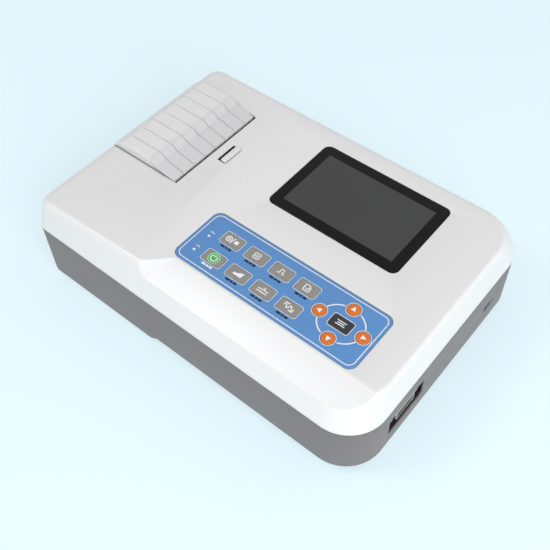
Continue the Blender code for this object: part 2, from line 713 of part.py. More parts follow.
def raised_cutter(name, raise_by):
    """The space under the shallow, right-hand part: its slope and its underside, raised by raise_by."""
    slope = FLOOR_STEP_RUN / (RAISED_FLOOR_Z - FLOOR_Z)
    low_z = -CUT_PAST
    high_z = RAISED_FLOOR_Z + raise_by
    high_x = FLOOR_STEP_X + FLOOR_STEP_RUN
    outline = [
        (high_x - slope * (high_z - low_z), low_z),
        (high_x, high_z),
        (CASE_WIDTH, high_z),
        (CASE_WIDTH, low_z),
    ]
    return prism_along_y(name, outline, -CASE_DEPTH, CASE_DEPTH)


def foot_bosses():
    """Two posts that carry the right-hand feet down to the level of the deep part's floor."""
    bm = bmesh.new()
    for y in (-FOOT_Y, FOOT_Y):
        add_rod(
            bm, (FOOT_X, y, FLOOR_Z), (FOOT_X, y, RAISED_FLOOR_Z + WALL / 2), FOOT_RADIUS, 20
        )
    return place("foot_bosses", mesh_of("foot_bosses", bm))


def wall_openings():
    """The holes in the right-hand and back walls for the sockets, as one cutter."""
    bm = bmesh.new()
    half_length = LEAD_SHELL_LENGTH / 2
    recess_back = RIGHT_WALL_X - LEAD_RECESS_DEPTH
    add_block(
        bm,
        (recess_back - CUT_PAST, LEAD_Y - half_length, LEAD_Z - LEAD_SHELL_HEIGHT / 2),
        (recess_back + WALL / 2, LEAD_Y + half_length, LEAD_Z + LEAD_SHELL_HEIGHT / 2),
    )
    for side in (-1, 1):
        y = LEAD_Y + side * JACK_SPACING / 2
        reach = recess_back - CUT_PAST
        add_rod(bm, (reach, y, LEAD_Z), (recess_back + WALL / 2, y, LEAD_Z), JACK_HOLE_RADIUS, 12)
    half_width = USB_WIDTH / 2 + GAP
    half_height = USB_HEIGHT / 2 + GAP
    add_block(
        bm,
        (RIGHT_WALL_X - WALL - CUT_PAST, USB_Y - half_width, USB_Z - half_height),
        (RIGHT_WALL_X + CUT_PAST, USB_Y + half_width, USB_Z + half_height),
    )
    for x, width, height in (
        (INLET_X, INLET_WIDTH, INLET_HEIGHT),
        (SWITCH_X, SWITCH_WIDTH, SWITCH_HEIGHT),
    ):
        half_width = width / 2 + GAP
        half_height = height / 2 + GAP
        add_block(
            bm,
            (x - half_width, BACK_WALL_Y - WALL - CUT_PAST, INLET_Z - half_height),
            (x + half_width, BACK_WALL_Y + CUT_PAST, INLET_Z + half_height),
        )
    hole_front = BACK_WALL_Y - WALL - CUT_PAST
    hole_back = BACK_WALL_Y + CUT_PAST
    add_rod(
        bm, (EARTH_X, hole_front, INLET_Z), (EARTH_X, hole_back, INLET_Z), EARTH_RADIUS + GAP, 16
    )
    return place("wall_openings", mesh_of("wall_openings", bm))


def hatch_corners(grow):
    """The low and high (x, y) corners of the battery hatch, wider by grow on each side."""
    half_width = BATTERY_WIDTH / 2 + HATCH_MARGIN + grow
    half_depth = BATTERY_DEPTH / 2 + HATCH_MARGIN + grow
    return (
        (BATTERY_X - half_width, BATTERY_Y - half_depth),
        (BATTERY_X + half_width, BATTERY_Y + half_depth),
    )


def make_feet():
    for name, side_x, side_y in (
        ("foot_front_left", -1, -1),
        ("foot_front_right", 1, -1),
        ("foot_back_left", -1, 1),
        ("foot_back_right", 1, 1),
    ):
        x = side_x * FOOT_X
        y = side_y * FOOT_Y
        rod(name, (x, y, 0), (x, y, FOOT_HEIGHT), FOOT_RADIUS, "rubber", 20)


def door_skyline(lower):
    """The door's upper outline from left to right, moved in by lower: over a round shoulder, along the
    hump, down an S curve to the shelf and along the shelf to the paper slot."""
    shoulder_x = -CASE_WIDTH / 2 + DOOR_SHOULDER_WIDTH
    crest_z = TOP_Z + DOOR_CREST_RISE
    shoulder_z = crest_z - DOOR_SHOULDER_HEIGHT
    shelf_z = TOP_Z + DOOR_SHELF_RISE
    width = DOOR_SHOULDER_WIDTH - lower
    height = DOOR_SHOULDER_HEIGHT - lower
    points = []
    for step in range(7):
        angle = step * math.pi / 12
        x = shoulder_x - width * math.cos(angle) ** DOOR_SHOULDER_POWER
        points.append((x, shoulder_z + height * math.sin(angle) ** DOOR_SHOULDER_POWER))
    steps = 6
    for step in range(steps + 1):
        share = step / steps
        x = DOOR_CREST_X + share * (DOOR_SHELF_X - DOOR_CREST_X)
        z = shelf_z + (crest_z - shelf_z) * 0.5 * (1 + math.cos(math.pi * share))
        points.append((x, z - lower))
    return points


def door_grooves():
    """The seven shallow grooves that run along the hump, the S curve and the shelf."""
    bottom = door_skyline(GROOVE_DEPTH)[2:]
    above_z = TOP_Z + DOOR_CREST_RISE + CUT_PAST
    outline = bottom + [
        (DOOR_END_X + CUT_PAST, TOP_Z - GROOVE_DEPTH - DOOR_SHELF_RISE * 0.3),
        (DOOR_END_X + CUT_PAST, above_z),
        (bottom[0][0], above_z),
    ]
    bm = bmesh.new()
    first_y = DOOR_MID_Y - GROOVE_PITCH * (GROOVE_COUNT - 1) / 2
    for k in range(GROOVE_COUNT):
        y = first_y + k * GROOVE_PITCH
        add_prism(bm, outline, y - GROOVE_WIDTH / 2, y + GROOVE_WIDTH / 2)
    return place("door_grooves", mesh_of("door_grooves", bm))


def make_paper_door(hinge):
    crest = door_skyline(0)
    end_z = TOP_Z
    cheek_z = PLATEN_Z - PLATEN_SHAFT_RADIUS - CHEEK_UNDER_SHAFT
    cheek_x = PLATEN_X + CHEEK_PAST_PLATEN
    outline = [(-CASE_WIDTH / 2, DOOR_FOOT_Z)] + crest
    outline += [
        (DOOR_END_X, end_z),
        (DOOR_END_X, end_z - DOOR_LIP),
        (cheek_x, end_z - DOOR_LIP - CHEEK_UNDER_LIP),
        (cheek_x, cheek_z),
        (PLATEN_X - CHEEK_BEFORE_PLATEN, cheek_z),
        (BAY_RIGHT_X - CHEEK_BAY_CLEARANCE, cheek_z + CHEEK_STEP),
        (HINGE_X + CHEEK_PAST_HINGE, cheek_z + CHEEK_STEP),
        (HINGE_X + CHEEK_HINGE_MARGIN, DOOR_FOOT_Z),
    ]
    door = prism_along_y(
        "paper_door", outline, DOOR_FRONT_Y, DOOR_BACK_Y, "white_abs", parent=hinge
    )
    inside = [(-CASE_WIDTH / 2 + DOOR_WALL, DOOR_FOOT_Z - CUT_PAST)] + door_skyline(DOOR_WALL)
    inside += [
        (DOOR_END_X - DOOR_WALL, end_z - DOOR_WALL),
        (DOOR_END_X - DOOR_WALL, end_z - DOOR_LIP),
        (DOOR_END_X + CUT_PAST, end_z - DOOR_LIP),
        (DOOR_END_X + CUT_PAST, DOOR_FOOT_Z - CUT_PAST),
    ]
    hollow = prism_along_y(
        "door_hollow", inside, DOOR_FRONT_Y + DOOR_CHEEK, DOOR_BACK_Y - DOOR_CHEEK
    )
    apply_boolean(door, hollow)
    apply_boolean(door, door_grooves())
    catches = bmesh.new()
    catch_top = BOLT_TOP_Z - BOLT_HEIGHT - GAP
    for low_y in (DOOR_FRONT_Y, DOOR_BACK_Y - DOOR_CHEEK):
        add_block(
            catches,
            (cheek_x - CATCH_ROOT, low_y, catch_top - CATCH_HEIGHT),
            (cheek_x + CATCH_LENGTH, low_y + DOOR_CHEEK, catch_top),
        )
    apply_boolean(door, place("door_catches", mesh_of("door_catches", catches)), "UNION")
    bores = bmesh.new()
    for y in (DOOR_FRONT_Y, DOOR_BACK_Y):
        add_rod(
            bores,
            (HINGE_X, y - CUT_PAST, HINGE_Z),
            (HINGE_X, y + CUT_PAST, HINGE_Z),
            HINGE_PIN_RADIUS + GAP,
            16,
        )
        add_rod(
            bores,
            (PLATEN_X, y - CUT_PAST, PLATEN_Z),
            (PLATEN_X, y + CUT_PAST, PLATEN_Z),
            PLATEN_SHAFT_RADIUS + GAP,
            16,
        )
    apply_boolean(door, place("door_bores", mesh_of("door_bores", bores)))
    slots = bmesh.new()
    for low_y in (BAY_FRONT_Y, BAY_BACK_Y - LUG_WIDTH):
        add_block(
            slots,
            (-CASE_WIDTH / 2 - CUT_PAST, low_y - DOOR_GAP, DOOR_FOOT_Z - CUT_PAST),
            (HINGE_X - LUG_RADIUS - GAP, low_y + LUG_WIDTH + DOOR_GAP, HINGE_Z + LUG_SLOT_RISE),
        )
    apply_boolean(door, place("door_lug_slots", mesh_of("door_lug_slots", slots)))
    return door


def make_printer_chassis():
    """The paper bay: a tub with lugs for the hinge pin, slots for the spindle and a gear plate."""
    rest_z = INNER_FLOOR_Z + GAP
    chassis = block(
        "printer_chassis",
        (BAY_LEFT_X, BAY_FRONT_Y, rest_z),
        (BAY_RIGHT_X, BAY_BACK_Y, BAY_RIM_Z),
        "black_pbt",
    )
    inner = bmesh.new()
    for low_z, high_z in (
        (BAY_FLOOR_Z + BAY_WALL, BAY_RIM_Z + 4 * CUT_PAST),
        (rest_z - CUT_PAST, BAY_FLOOR_Z),
    ):
        add_block(
            inner,
            (BAY_LEFT_X + BAY_WALL, BAY_FRONT_Y + BAY_WALL, low_z),
            (BAY_RIGHT_X - BAY_WALL, BAY_BACK_Y - BAY_WALL, high_z),
        )
    apply_boolean(chassis, place("bay_hollows", mesh_of("bay_hollows", inner)))
    left_rim = block(
        "bay_left_rim",
        (BAY_LEFT_X - CUT_PAST, BAY_FRONT_Y - CUT_PAST, BAY_LEFT_RIM_Z),
        (HINGE_X + LUG_RADIUS + LUG_NOTCH_RUN, BAY_BACK_Y + CUT_PAST, BAY_RIM_Z + CUT_PAST),
    )
    apply_boolean(chassis, left_rim)
    plate = block(
        "gear_plate",
        (BAY_RIGHT_X - BAY_WALL / 2, BAY_BACK_Y - BAY_WALL, rest_z),
        (GEAR_PLATE_X, BAY_BACK_Y, BAY_RIM_Z),
    )
    apply_boolean(chassis, plate, "UNION")
    lugs = bmesh.new()
    lug_half = LUG_RADIUS - LUG_FLAT
    for low_y in (BAY_FRONT_Y, BAY_BACK_Y - LUG_WIDTH):
        add_block(
            lugs,
            (HINGE_X - lug_half, low_y, BAY_LEFT_RIM_Z - LUG_ROOT),
            (HINGE_X + lug_half, low_y + LUG_WIDTH, HINGE_Z + lug_half),
            corner=LUG_CORNER,
            axis=1,
            segments=2,
        )
    apply_boolean(chassis, place("hinge_lugs", mesh_of("hinge_lugs", lugs)), "UNION")
    bores = bmesh.new()
    add_rod(
        bores,
        (HINGE_X, BAY_FRONT_Y - CUT_PAST, HINGE_Z),
        (HINGE_X, BAY_BACK_Y + CUT_PAST, HINGE_Z),
        HINGE_PIN_RADIUS + GAP,
        16,
    )
    idler_x, idler_z = idler_centre()
    add_rod(
        bores,
        (idler_x, BAY_BACK_Y - BAY_WALL - CUT_PAST, idler_z),
        (idler_x, BAY_BACK_Y + CUT_PAST, idler_z),
        AXLE_RADIUS + GAP,
        16,
    )
    apply_boolean(chassis, place("chassis_bores", mesh_of("chassis_bores", bores)))
    journal_slot = block(
        "journal_slots",
        (ROLL_X - JOURNAL_RADIUS - GAP, BAY_FRONT_Y - CUT_PAST, ROLL_Z - JOURNAL_RADIUS - GAP),
        (ROLL_X + JOURNAL_RADIUS + GAP, BAY_BACK_Y + CUT_PAST, BAY_RIM_Z + CUT_PAST),
    )
    apply_boolean(chassis, journal_slot)
    return chassis


def tooth_outline(teeth):
    """A gear's outline in the plane: each tooth is a trapezium, drawn by radius and angle."""
    root = GEAR_MODULE * (teeth / 2 - 1.25)
    tip = GEAR_MODULE * (teeth / 2 + 0.85)
    pitch = 2 * math.pi / teeth
    points = []
    for tooth in range(teeth):
        middle = tooth * pitch
        for radius, share in ((root, -0.3), (tip, -0.11), (tip, 0.11), (root, 0.3)):
            angle = middle + share * pitch
            points.append((radius * math.cos(angle), radius * math.sin(angle)))
    return points


def circle_outline(radius, count):
    return [
        (radius * math.cos(2 * math.pi * k / count), radius * math.sin(2 * math.pi * k / count))
        for k in range(count)
    ]


def gear(name, centre_x, centre_z, front_y, teeth, bore, phase, parent=None):
    """A spur gear on an axis along Y, its first tooth turned to phase from +X towards +Z."""
    curve = bpy.data.curves.new(name, "CURVE")
    curve.dimensions = "2D"
    curve.fill_mode = "BOTH"
    curve.extrude = GEAR_WIDTH / 2
    for outline in (tooth_outline(teeth), circle_outline(bore, 16)):
        spline = curve.splines.new("POLY")
        spline.points.add(len(outline) - 1)
        for point, (x, y) in zip(spline.points, outline):
            point.co = (x, y, 0, 1)
        spline.use_cyclic_u = True
    location = (centre_x, front_y + GEAR_WIDTH / 2, centre_z)
    obj = place(name, curve, "acetal", location, parent)
    obj.rotation_euler = (math.pi / 2, -phase, 0)
    return obj


def pitch_radius(teeth):
    return GEAR_MODULE * teeth / 2


def idler_centre():
    """The idler's axis lies below the platen's, in the direction in which the door lifts the platen."""
    arm = Vector((PLATEN_X - HINGE_X, PLATEN_Z - HINGE_Z)).normalized()
    distance = pitch_radius(PLATEN_TEETH) + pitch_radius(IDLER_TEETH)
    return PLATEN_X + arm.y * distance, PLATEN_Z - arm.x * distance


def pinion_centre():
    idler_x, idler_z = idler_centre()
    distance = pitch_radius(IDLER_TEETH) + pitch_radius(PINION_TEETH)
    return (
        idler_x + distance * math.cos(PINION_ANGLE),
        idler_z + distance * math.sin(PINION_ANGLE),
    )


def meshing_phase(teeth, to_partner, partner_teeth, partner_phase):
    """The phase at which this gear has a gap where its partner has a tooth, or the other way round.
    to_partner is the angle from this gear's axis to its partner's."""
    seen = (to_partner + math.pi - partner_phase) * partner_teeth / (2 * math.pi)
    offset = seen - math.floor(seen)
    return to_partner + (offset + 0.5) * 2 * math.pi / teeth


def make_platen(axis):
    middle = PAPER_MID_Y
    rod(
        "platen_shaft",
        (PLATEN_X, DOOR_FRONT_Y + GAP, PLATEN_Z),
        (PLATEN_X, DOOR_BACK_Y - GAP, PLATEN_Z),
        PLATEN_SHAFT_RADIUS,
        "steel",
        20,
        parent=axis,
    )
    roller = rod(
        "platen_roller",
        (PLATEN_X, middle - PLATEN_LENGTH / 2, PLATEN_Z),
        (PLATEN_X, middle + PLATEN_LENGTH / 2, PLATEN_Z),
        PLATEN_RADIUS,
        "rubber",
        32,
        parent=axis,
    )
    bore = rod(
        "platen_bore",
        (PLATEN_X, DOOR_FRONT_Y, PLATEN_Z),
        (PLATEN_X, DOOR_BACK_Y, PLATEN_Z),
        PLATEN_SHAFT_RADIUS + GAP,
        None,
        20,
    )
    apply_boolean(roller, bore)


def make_gears(platen_axis, idler_axis, pinion_axis):
    front_y = PAPER_MID_Y + PLATEN_LENGTH / 2 + GEAR_END_GAP
    idler_x, idler_z = idler_centre()
    pinion_x, pinion_z = pinion_centre()
    down = math.atan2(idler_z - PLATEN_Z, idler_x - PLATEN_X)
    platen_phase = down
    idler_phase = meshing_phase(IDLER_TEETH, down + math.pi, PLATEN_TEETH, platen_phase)
    pinion_phase = meshing_phase(PINION_TEETH, PINION_ANGLE + math.pi, IDLER_TEETH, idler_phase)
    gear(
        "platen_gear",
        PLATEN_X,
        PLATEN_Z,
        front_y,
        PLATEN_TEETH,
        PLATEN_SHAFT_RADIUS + GAP,
        platen_phase,
        platen_axis,
    )
    gear(
        "idler_gear",
        idler_x,
        idler_z,
        front_y,
        IDLER_TEETH,
        AXLE_RADIUS + GAP,
        idler_phase,
        idler_axis,
    )
    gear(
        "motor_pinion",
        pinion_x,
        pinion_z,
        front_y,
        PINION_TEETH,
        MOTOR_SHAFT_RADIUS + GAP,
        pinion_phase,
        pinion_axis,
    )
    rod(
        "idler_axle",
        (idler_x, front_y - AXLE_END, idler_z),
        (idler_x, BAY_BACK_Y + AXLE_END, idler_z),
        AXLE_RADIUS,
        "steel",
        16,
    )
    motor = bmesh.new()
    motor_back = front_y - MOTOR_END_GAP
    add_rod(
        motor,
        (pinion_x, motor_back - MOTOR_LENGTH, pinion_z),
        (pinion_x, motor_back, pinion_z),
        MOTOR_RADIUS,
        28,
    )
    body = place("stepper_motor", mesh_of("stepper_motor", motor, True), "steel")
    shaft = rod(
        "motor_shaft",
        (pinion_x, motor_back - SHAFT_ROOT, pinion_z),
        (pinion_x, front_y + GEAR_WIDTH, pinion_z),
        MOTOR_SHAFT_RADIUS,
        None,
        16,
    )
    apply_boolean(body, shaft, "UNION")


def helix_curve(name, start, length, radius, turns, wire, finish):
    """A compression spring along +X: a wire of round section wound at an even pitch."""
    per_turn = 12
    count = turns * per_turn + 1
    curve = bpy.data.curves.new(name, "CURVE")
    curve.dimensions = "3D"
    curve.bevel_depth = wire
    curve.bevel_resolution = 1
    curve.use_fill_caps = True
    spline = curve.splines.new("POLY")
    spline.points.add(count - 1)
    for k, point in enumerate(spline.points):
        angle = 2 * math.pi * k / per_turn
        x = start[0] + wire + (length - 2 * wire) * k / (count - 1)
        y = start[1] + (radius - wire) * math.cos(angle)
        z = start[2] + (radius - wire) * math.sin(angle)
        point.co = (x, y, z, 1)
    return place(name, curve, finish)


def make_print_head():
    """Thermal head beside the platen, its heat sink, the springs behind it and their bracket."""
    low_z = PLATEN_Z + HEAD_ABOVE_PLATEN - HEAD_HEIGHT
    high_z = low_z + HEAD_HEIGHT
    front_y = PAPER_MID_Y - PLATEN_LENGTH / 2
    back_y = PAPER_MID_Y + PLATEN_LENGTH / 2
    face_x = PLATEN_X + PLATEN_RADIUS + HEAD_NIP
    sink_x = face_x + HEAD_THICKNESS + GAP
    spring_x = sink_x + SINK_THICKNESS + GAP
    bracket_x = spring_x + HEAD_SPRING_LENGTH + GAP
    block(
        "print_head",
        (face_x, front_y, low_z),
        (face_x + HEAD_THICKNESS, back_y, high_z),
        "ceramic",
        corner=HEAD_CORNER,
        axis=1,
        segments=2,
    )
    block(
        "head_heatsink",
        (sink_x, front_y, low_z),
        (sink_x + SINK_THICKNESS, back_y, high_z),
        "aluminium",
        corner=SINK_CORNER,
        axis=1,
        segments=1,
    )
    bracket_back = PAPER_MID_Y + BRACKET_REACH
    block(
        "head_bracket",
        (bracket_x, front_y, INNER_FLOOR_Z + GAP),
        (bracket_x + BRACKET_THICKNESS, bracket_back, high_z - BRACKET_STEP),
        "steel",
        corner=HEAD_CORNER,
        axis=1,
        segments=1,
    )
    spring_z = (low_z + high_z) / 2
    for name, y in (
        ("head_spring_front", front_y + SPRING_INSET),
        ("head_spring_back", bracket_back - SPRING_INSET),
    ):
        helix_curve(
            name,
            (spring_x, y, spring_z),
            HEAD_SPRING_LENGTH,
            HEAD_SPRING_RADIUS,
            SPRING_TURNS,
            SPRING_WIRE,
            "steel",
        )


def make_paper(axis):
    middle = PAPER_MID_Y
    spindle = bmesh.new()
    body_half = (BAY_BACK_Y - BAY_FRONT_Y) / 2 - BAY_WALL - SPINDLE_END_GAP
    add_rod(
        spindle,
        (ROLL_X, middle - body_half, ROLL_Z),
        (ROLL_X, middle + body_half, ROLL_Z),
        SPINDLE_RADIUS,
        20,
    )
    body = place("paper_spindle", mesh_of("paper_spindle", spindle, True), "acetal", parent=axis)
    journals = rod(
        "spindle_journals",
        (ROLL_X, BAY_FRONT_Y, ROLL_Z),
        (ROLL_X, BAY_BACK_Y, ROLL_Z),
        JOURNAL_RADIUS,
        None,
        20,
    )
    apply_boolean(body, journals, "UNION")
    roll = rod(
        "paper_roll",
        (ROLL_X, middle - PAPER_WIDTH / 2, ROLL_Z),
        (ROLL_X, middle + PAPER_WIDTH / 2, ROLL_Z),
        ROLL_RADIUS,
        "paper",
        40,
        parent=axis,
    )
    core = rod(
        "roll_core",
        (ROLL_X, middle - PAPER_WIDTH, ROLL_Z),
        (ROLL_X, middle + PAPER_WIDTH, ROLL_Z),
        SPINDLE_RADIUS + GAP,
        None,
        20,
    )
    apply_boolean(roll, core)


def make_hinge_pin():
    rod(
        "door_hinge_pin",
        (HINGE_X, DOOR_FRONT_Y + GAP, HINGE_Z),
        (HINGE_X, DOOR_BACK_Y - GAP, HINGE_Z),
        HINGE_PIN_RADIUS,
        "steel",
        16,
    )


def make_latch(slider):
    """The cap on its stem, and under the deck the bar whose two bolts reach over the door's catches."""
    half = LATCH_LENGTH / 2
    stem_half = half - STEM_MARGIN
    cap_z = TOP_Z + GAP
    stem_z = LATCH_BAR_TOP_Z + GAP
    button = block(
        "latch_button",
        (LATCH_X, LATCH_Y - half, cap_z),
        (LATCH_X + LATCH_WIDTH, LATCH_Y + half, cap_z + LATCH_HEIGHT),
        "white_abs",
        corner=LATCH_CORNER,
        axis=1,
        segments=2,
        parent=slider,
    )
    stem = block(
        "latch_stem",
        (LATCH_X + GAP, LATCH_Y - stem_half, stem_z),
        (LATCH_X + LATCH_STEM, LATCH_Y + stem_half, cap_z + LATCH_HEIGHT / 2),
    )
    apply_boolean(button, stem, "UNION")
    bar_x = LATCH_X - LATCH_BAR_SETBACK
    bar = block(
        "latch_bar",
        (bar_x, DOOR_FRONT_Y, LATCH_BAR_TOP_Z - LATCH_BAR_HEIGHT),
        (bar_x + LATCH_BAR_WIDTH, DOOR_BACK_Y, LATCH_BAR_TOP_Z),
        "acetal",
        parent=slider,
    )
    bolts = bmesh.new()
    bolt_x = PLATEN_X + CHEEK_PAST_PLATEN + BOLT_REACH
    for low_y in (DOOR_FRONT_Y, DOOR_BACK_Y - DOOR_CHEEK):
        add_block(
            bolts,
            (bolt_x, low_y + BOLT_SIDE_GAP, BOLT_TOP_Z - BOLT_HEIGHT),
            (bar_x + LATCH_BAR_WIDTH / 2, low_y + DOOR_CHEEK - BOLT_SIDE_GAP, BOLT_TOP_Z),
        )
    apply_boolean(bar, place("latch_bolts", mesh_of("latch_bolts", bolts)), "UNION")


def make_display():
    window_z = TOP_Z - WINDOW_THICKNESS
    block(
        "display_window",
        *centred(WINDOW_X, WINDOW_Y, WINDOW_WIDTH, WINDOW_DEPTH, window_z, TOP_Z),
        "black_gloss",
        corner=WINDOW_CORNER,
        segments=5,
    )
    panel_top = DECK_UNDER_Z - GAP
    block(
        "lcd_panel",
        *centred(
            WINDOW_X, WINDOW_Y, PANEL_WIDTH, PANEL_DEPTH, panel_top - PANEL_THICKNESS, panel_top
        ),
        "panel_grey",
        corner=PANEL_CORNER,
        segments=1,
    )


def make_keypad():
    overlay_z = TOP_Z - OVERLAY_THICKNESS
    overlay = block(
        "keypad_overlay",
        *centred(KEYPAD_X, KEYPAD_Y, KEYPAD_WIDTH, KEYPAD_DEPTH, overlay_z, TOP_Z),
        "blue_film",
        corner=KEYPAD_CORNER,
        segments=5,
    )
    apply_boolean(overlay, bpy.data.objects["keypad_holes"])
    key_top = TOP_Z + KEY_PROUD
    key_low = key_top - KEY_HEIGHT
    mat_top = key_low - KEY_TRAVEL - GAP
    inset = MAT_MARGIN
    mat_low = mat_top - MAT_THICKNESS
    block(
        "keypad_mat",
        *centred(KEYPAD_X, KEYPAD_Y, KEYPAD_WIDTH, KEYPAD_DEPTH, mat_low, mat_top, -inset),
        "rubber",
        corner=KEYPAD_CORNER - inset,
        segments=3,
    )
    board_top = mat_low - GAP
    board_low = board_top - BOARD_THICKNESS
    block(
        "keypad_board",
        *centred(KEYPAD_X, KEYPAD_Y, KEYPAD_WIDTH, KEYPAD_DEPTH, board_low, board_top, -inset),
        "board_green",
        corner=BOARD_CORNER,
        segments=2,
    )
    for name, x, y in key_places():
        slider = pivot(f"{name}_slide", (x, y, key_top))
        low, high = centred(x, y, KEY_WIDTH, KEY_DEPTH, key_low, key_top)
        block(name, low, high, "key_grey", corner=KEY_CORNER, segments=2, parent=slider)
    slider = pivot("key_centre_slide", (RING_X, RING_Y, key_top))
    low, high = centred(RING_X, RING_Y, CENTRE_WIDTH, CENTRE_DEPTH, key_low, key_top)
    block("key_centre", low, high, "key_dark", corner=KEY_CORNER, segments=2, parent=slider)
    for name, x, y in arrow_places():
        slider = pivot(f"{name}_slide", (x, y, key_top))
        rod(name, (x, y, key_low), (x, y, key_top), ARROW_RADIUS, "key_orange", 24, parent=slider)
    for name, y in zip(("light_mains", "light_battery"), LIGHT_YS):
        rod(name, (LIGHT_X, y, key_low), (LIGHT_X, y, TOP_Z), LIGHT_RADIUS, "lens_white", 12)


def make_lead_connector():
    """A 15-way shell and flange in the recess, with its moulded insert and two jack posts."""
    flange_x = RIGHT_WALL_X - LEAD_RECESS_DEPTH + GAP
    flange_thickness = LEAD_FLANGE_THICKNESS
    flange_face = flange_x + flange_thickness
    shell = block(
        "lead_connector_shell",
        (flange_x, LEAD_Y - LEAD_FLANGE_LENGTH / 2, LEAD_Z - LEAD_FLANGE_HEIGHT / 2),
        (flange_face, LEAD_Y + LEAD_FLANGE_LENGTH / 2, LEAD_Z + LEAD_FLANGE_HEIGHT / 2),
        "steel",
        corner=LEAD_FLANGE_CORNER,
        axis=0,
        segments=3,
    )
    half_length = LEAD_SHELL_LENGTH / 2
    half_height = LEAD_SHELL_HEIGHT / 2
    collar = block(
        "lead_collar",
        (flange_x + flange_thickness / 2, LEAD_Y - half_length, LEAD_Z - half_height),
        (flange_face + LEAD_SHELL_DEPTH, LEAD_Y + half_length, LEAD_Z + half_height),
        corner=LEAD_SHELL_CORNER,
        axis=0,
        segments=3,
    )
    apply_boolean(shell, collar, "UNION")
    inner_length = half_length - LEAD_SHELL_WALL
    inner_height = half_height - LEAD_SHELL_WALL
    mouth = block(
        "lead_mouth",
        (flange_x - CUT_PAST, LEAD_Y - inner_length, LEAD_Z - inner_height),
        (flange_face + LEAD_SHELL_DEPTH + CUT_PAST, LEAD_Y + inner_length, LEAD_Z + inner_height),
        corner=LEAD_BORE_CORNER,
        axis=0,
        segments=3,
    )
    apply_boolean(shell, mouth)
    jack_bore = JACK_BORE_RADIUS
    bores = bmesh.new()
    for side in (-1, 1):
        y = LEAD_Y + side * JACK_SPACING / 2
        add_rod(
            bores,
            (flange_x - CUT_PAST, y, LEAD_Z),
            (flange_face + CUT_PAST, y, LEAD_Z),
            jack_bore + GAP,
            12,
        )
    apply_boolean(shell, place("jack_bores", mesh_of("jack_bores", bores)))
    block(
        "lead_connector_insert",
        (flange_x - LEAD_INSERT_DEPTH, LEAD_Y - inner_length + GAP, LEAD_Z - inner_height + GAP),
        (flange_face, LEAD_Y + inner_length - GAP, LEAD_Z + inner_height - GAP),
        "black_pbt",
        corner=LEAD_INSERT_CORNER,
        axis=0,
        segments=3,
    )
    for name, side in (("jack_post_front", -1), ("jack_post_back", 1)):
        y = LEAD_Y + side * JACK_SPACING / 2
        post = rod(
            name,
            (flange_face + GAP, y, LEAD_Z),
            (flange_face + JACK_HEX_LENGTH, y, LEAD_Z),
            JACK_HEX_RADIUS,
            "steel",
            6,
        )
        stud = rod(
            f"{name}_stud",
            (flange_x - JACK_STUD_BACK, y, LEAD_Z),
            (flange_face + JACK_STUD_FRONT, y, LEAD_Z),
            jack_bore,
            None,
            12,
        )
        apply_boolean(post, stud, "UNION")


def open_box(name, low, high, wall, mouth_axis, finish, corner=0.0):
    """A socket housing: a box open at its high end along one axis, with walls of one thickness."""
    box = block(name, low, high, finish, corner=corner, axis=mouth_axis, segments=2)
    inner_low = [value + wall for value in low]
    inner_high = [value - wall for value in high]
    inner_high[mouth_axis] = high[mouth_axis] + CUT_PAST
    apply_boolean(box, block(f"{name}_mouth", inner_low, inner_high))
    return box


def make_usb_port():
    open_box(
        "usb_port",
        (RIGHT_WALL_X - USB_DEPTH, USB_Y - USB_WIDTH / 2, USB_Z - USB_HEIGHT / 2),
        (RIGHT_WALL_X - GAP, USB_Y + USB_WIDTH / 2, USB_Z + USB_HEIGHT / 2),
        USB_WALL,
        0,
        "steel",
    )


def make_mains_inlet():
    open_box(
        "mains_inlet",
        (INLET_X - INLET_WIDTH / 2, BACK_WALL_Y - INLET_DEPTH, INLET_Z - INLET_HEIGHT / 2),
        (INLET_X + INLET_WIDTH / 2, BACK_WALL_Y - GAP, INLET_Z + INLET_HEIGHT / 2),
        INLET_WALL,
        1,
        "black_pbt",
        corner=INLET_CORNER,
    )


def make_power_switch(rocker_axis):
    open_box(
        "power_switch_body",
        (SWITCH_X - SWITCH_WIDTH / 2, BACK_WALL_Y - SWITCH_DEPTH, INLET_Z - SWITCH_HEIGHT / 2),
        (SWITCH_X + SWITCH_WIDTH / 2, BACK_WALL_Y - GAP, INLET_Z + SWITCH_HEIGHT / 2),
        SWITCH_WALL,
        1,
        "black_pbt",
    )
    half_width = SWITCH_WIDTH / 2 - SWITCH_WALL - 2 * GAP
    half_height = SWITCH_HEIGHT / 2 - SWITCH_WALL - 2 * GAP
    rocker = bmesh.new()
    add_block(
        rocker,
        (-half_width, -ROCKER_DEPTH, -half_height),
        (half_width, ROCKER_PROUD, half_height),
        corner=ROCKER_CORNER,
        axis=2,
        segments=1,
    )
    obj = place(
        "power_switch_rocker",
        mesh_of("power_switch_rocker", rocker),
        "black_gloss",
        rocker_axis.location,
        rocker_axis,
    )
    obj.rotation_euler = (0, 0, -ROCKER_TILT)


def make_earth_terminal():
    post = rod(
        "earth_terminal",
        (EARTH_X, BACK_WALL_Y - EARTH_POST_LENGTH, INLET_Z),
        (EARTH_X, BACK_WALL_Y - GAP, INLET_Z),
        EARTH_RADIUS,
        "steel",
        16,
    )
    nut = rod(
        "earth_nut",
        (EARTH_X, BACK_WALL_Y - EARTH_NUT_DEPTH, INLET_Z),
        (EARTH_X, BACK_WALL_Y - WALL - GAP, INLET_Z),
        EARTH_NUT_RADIUS,
        None,
        6,
    )
    apply_boolean(post, nut, "UNION")


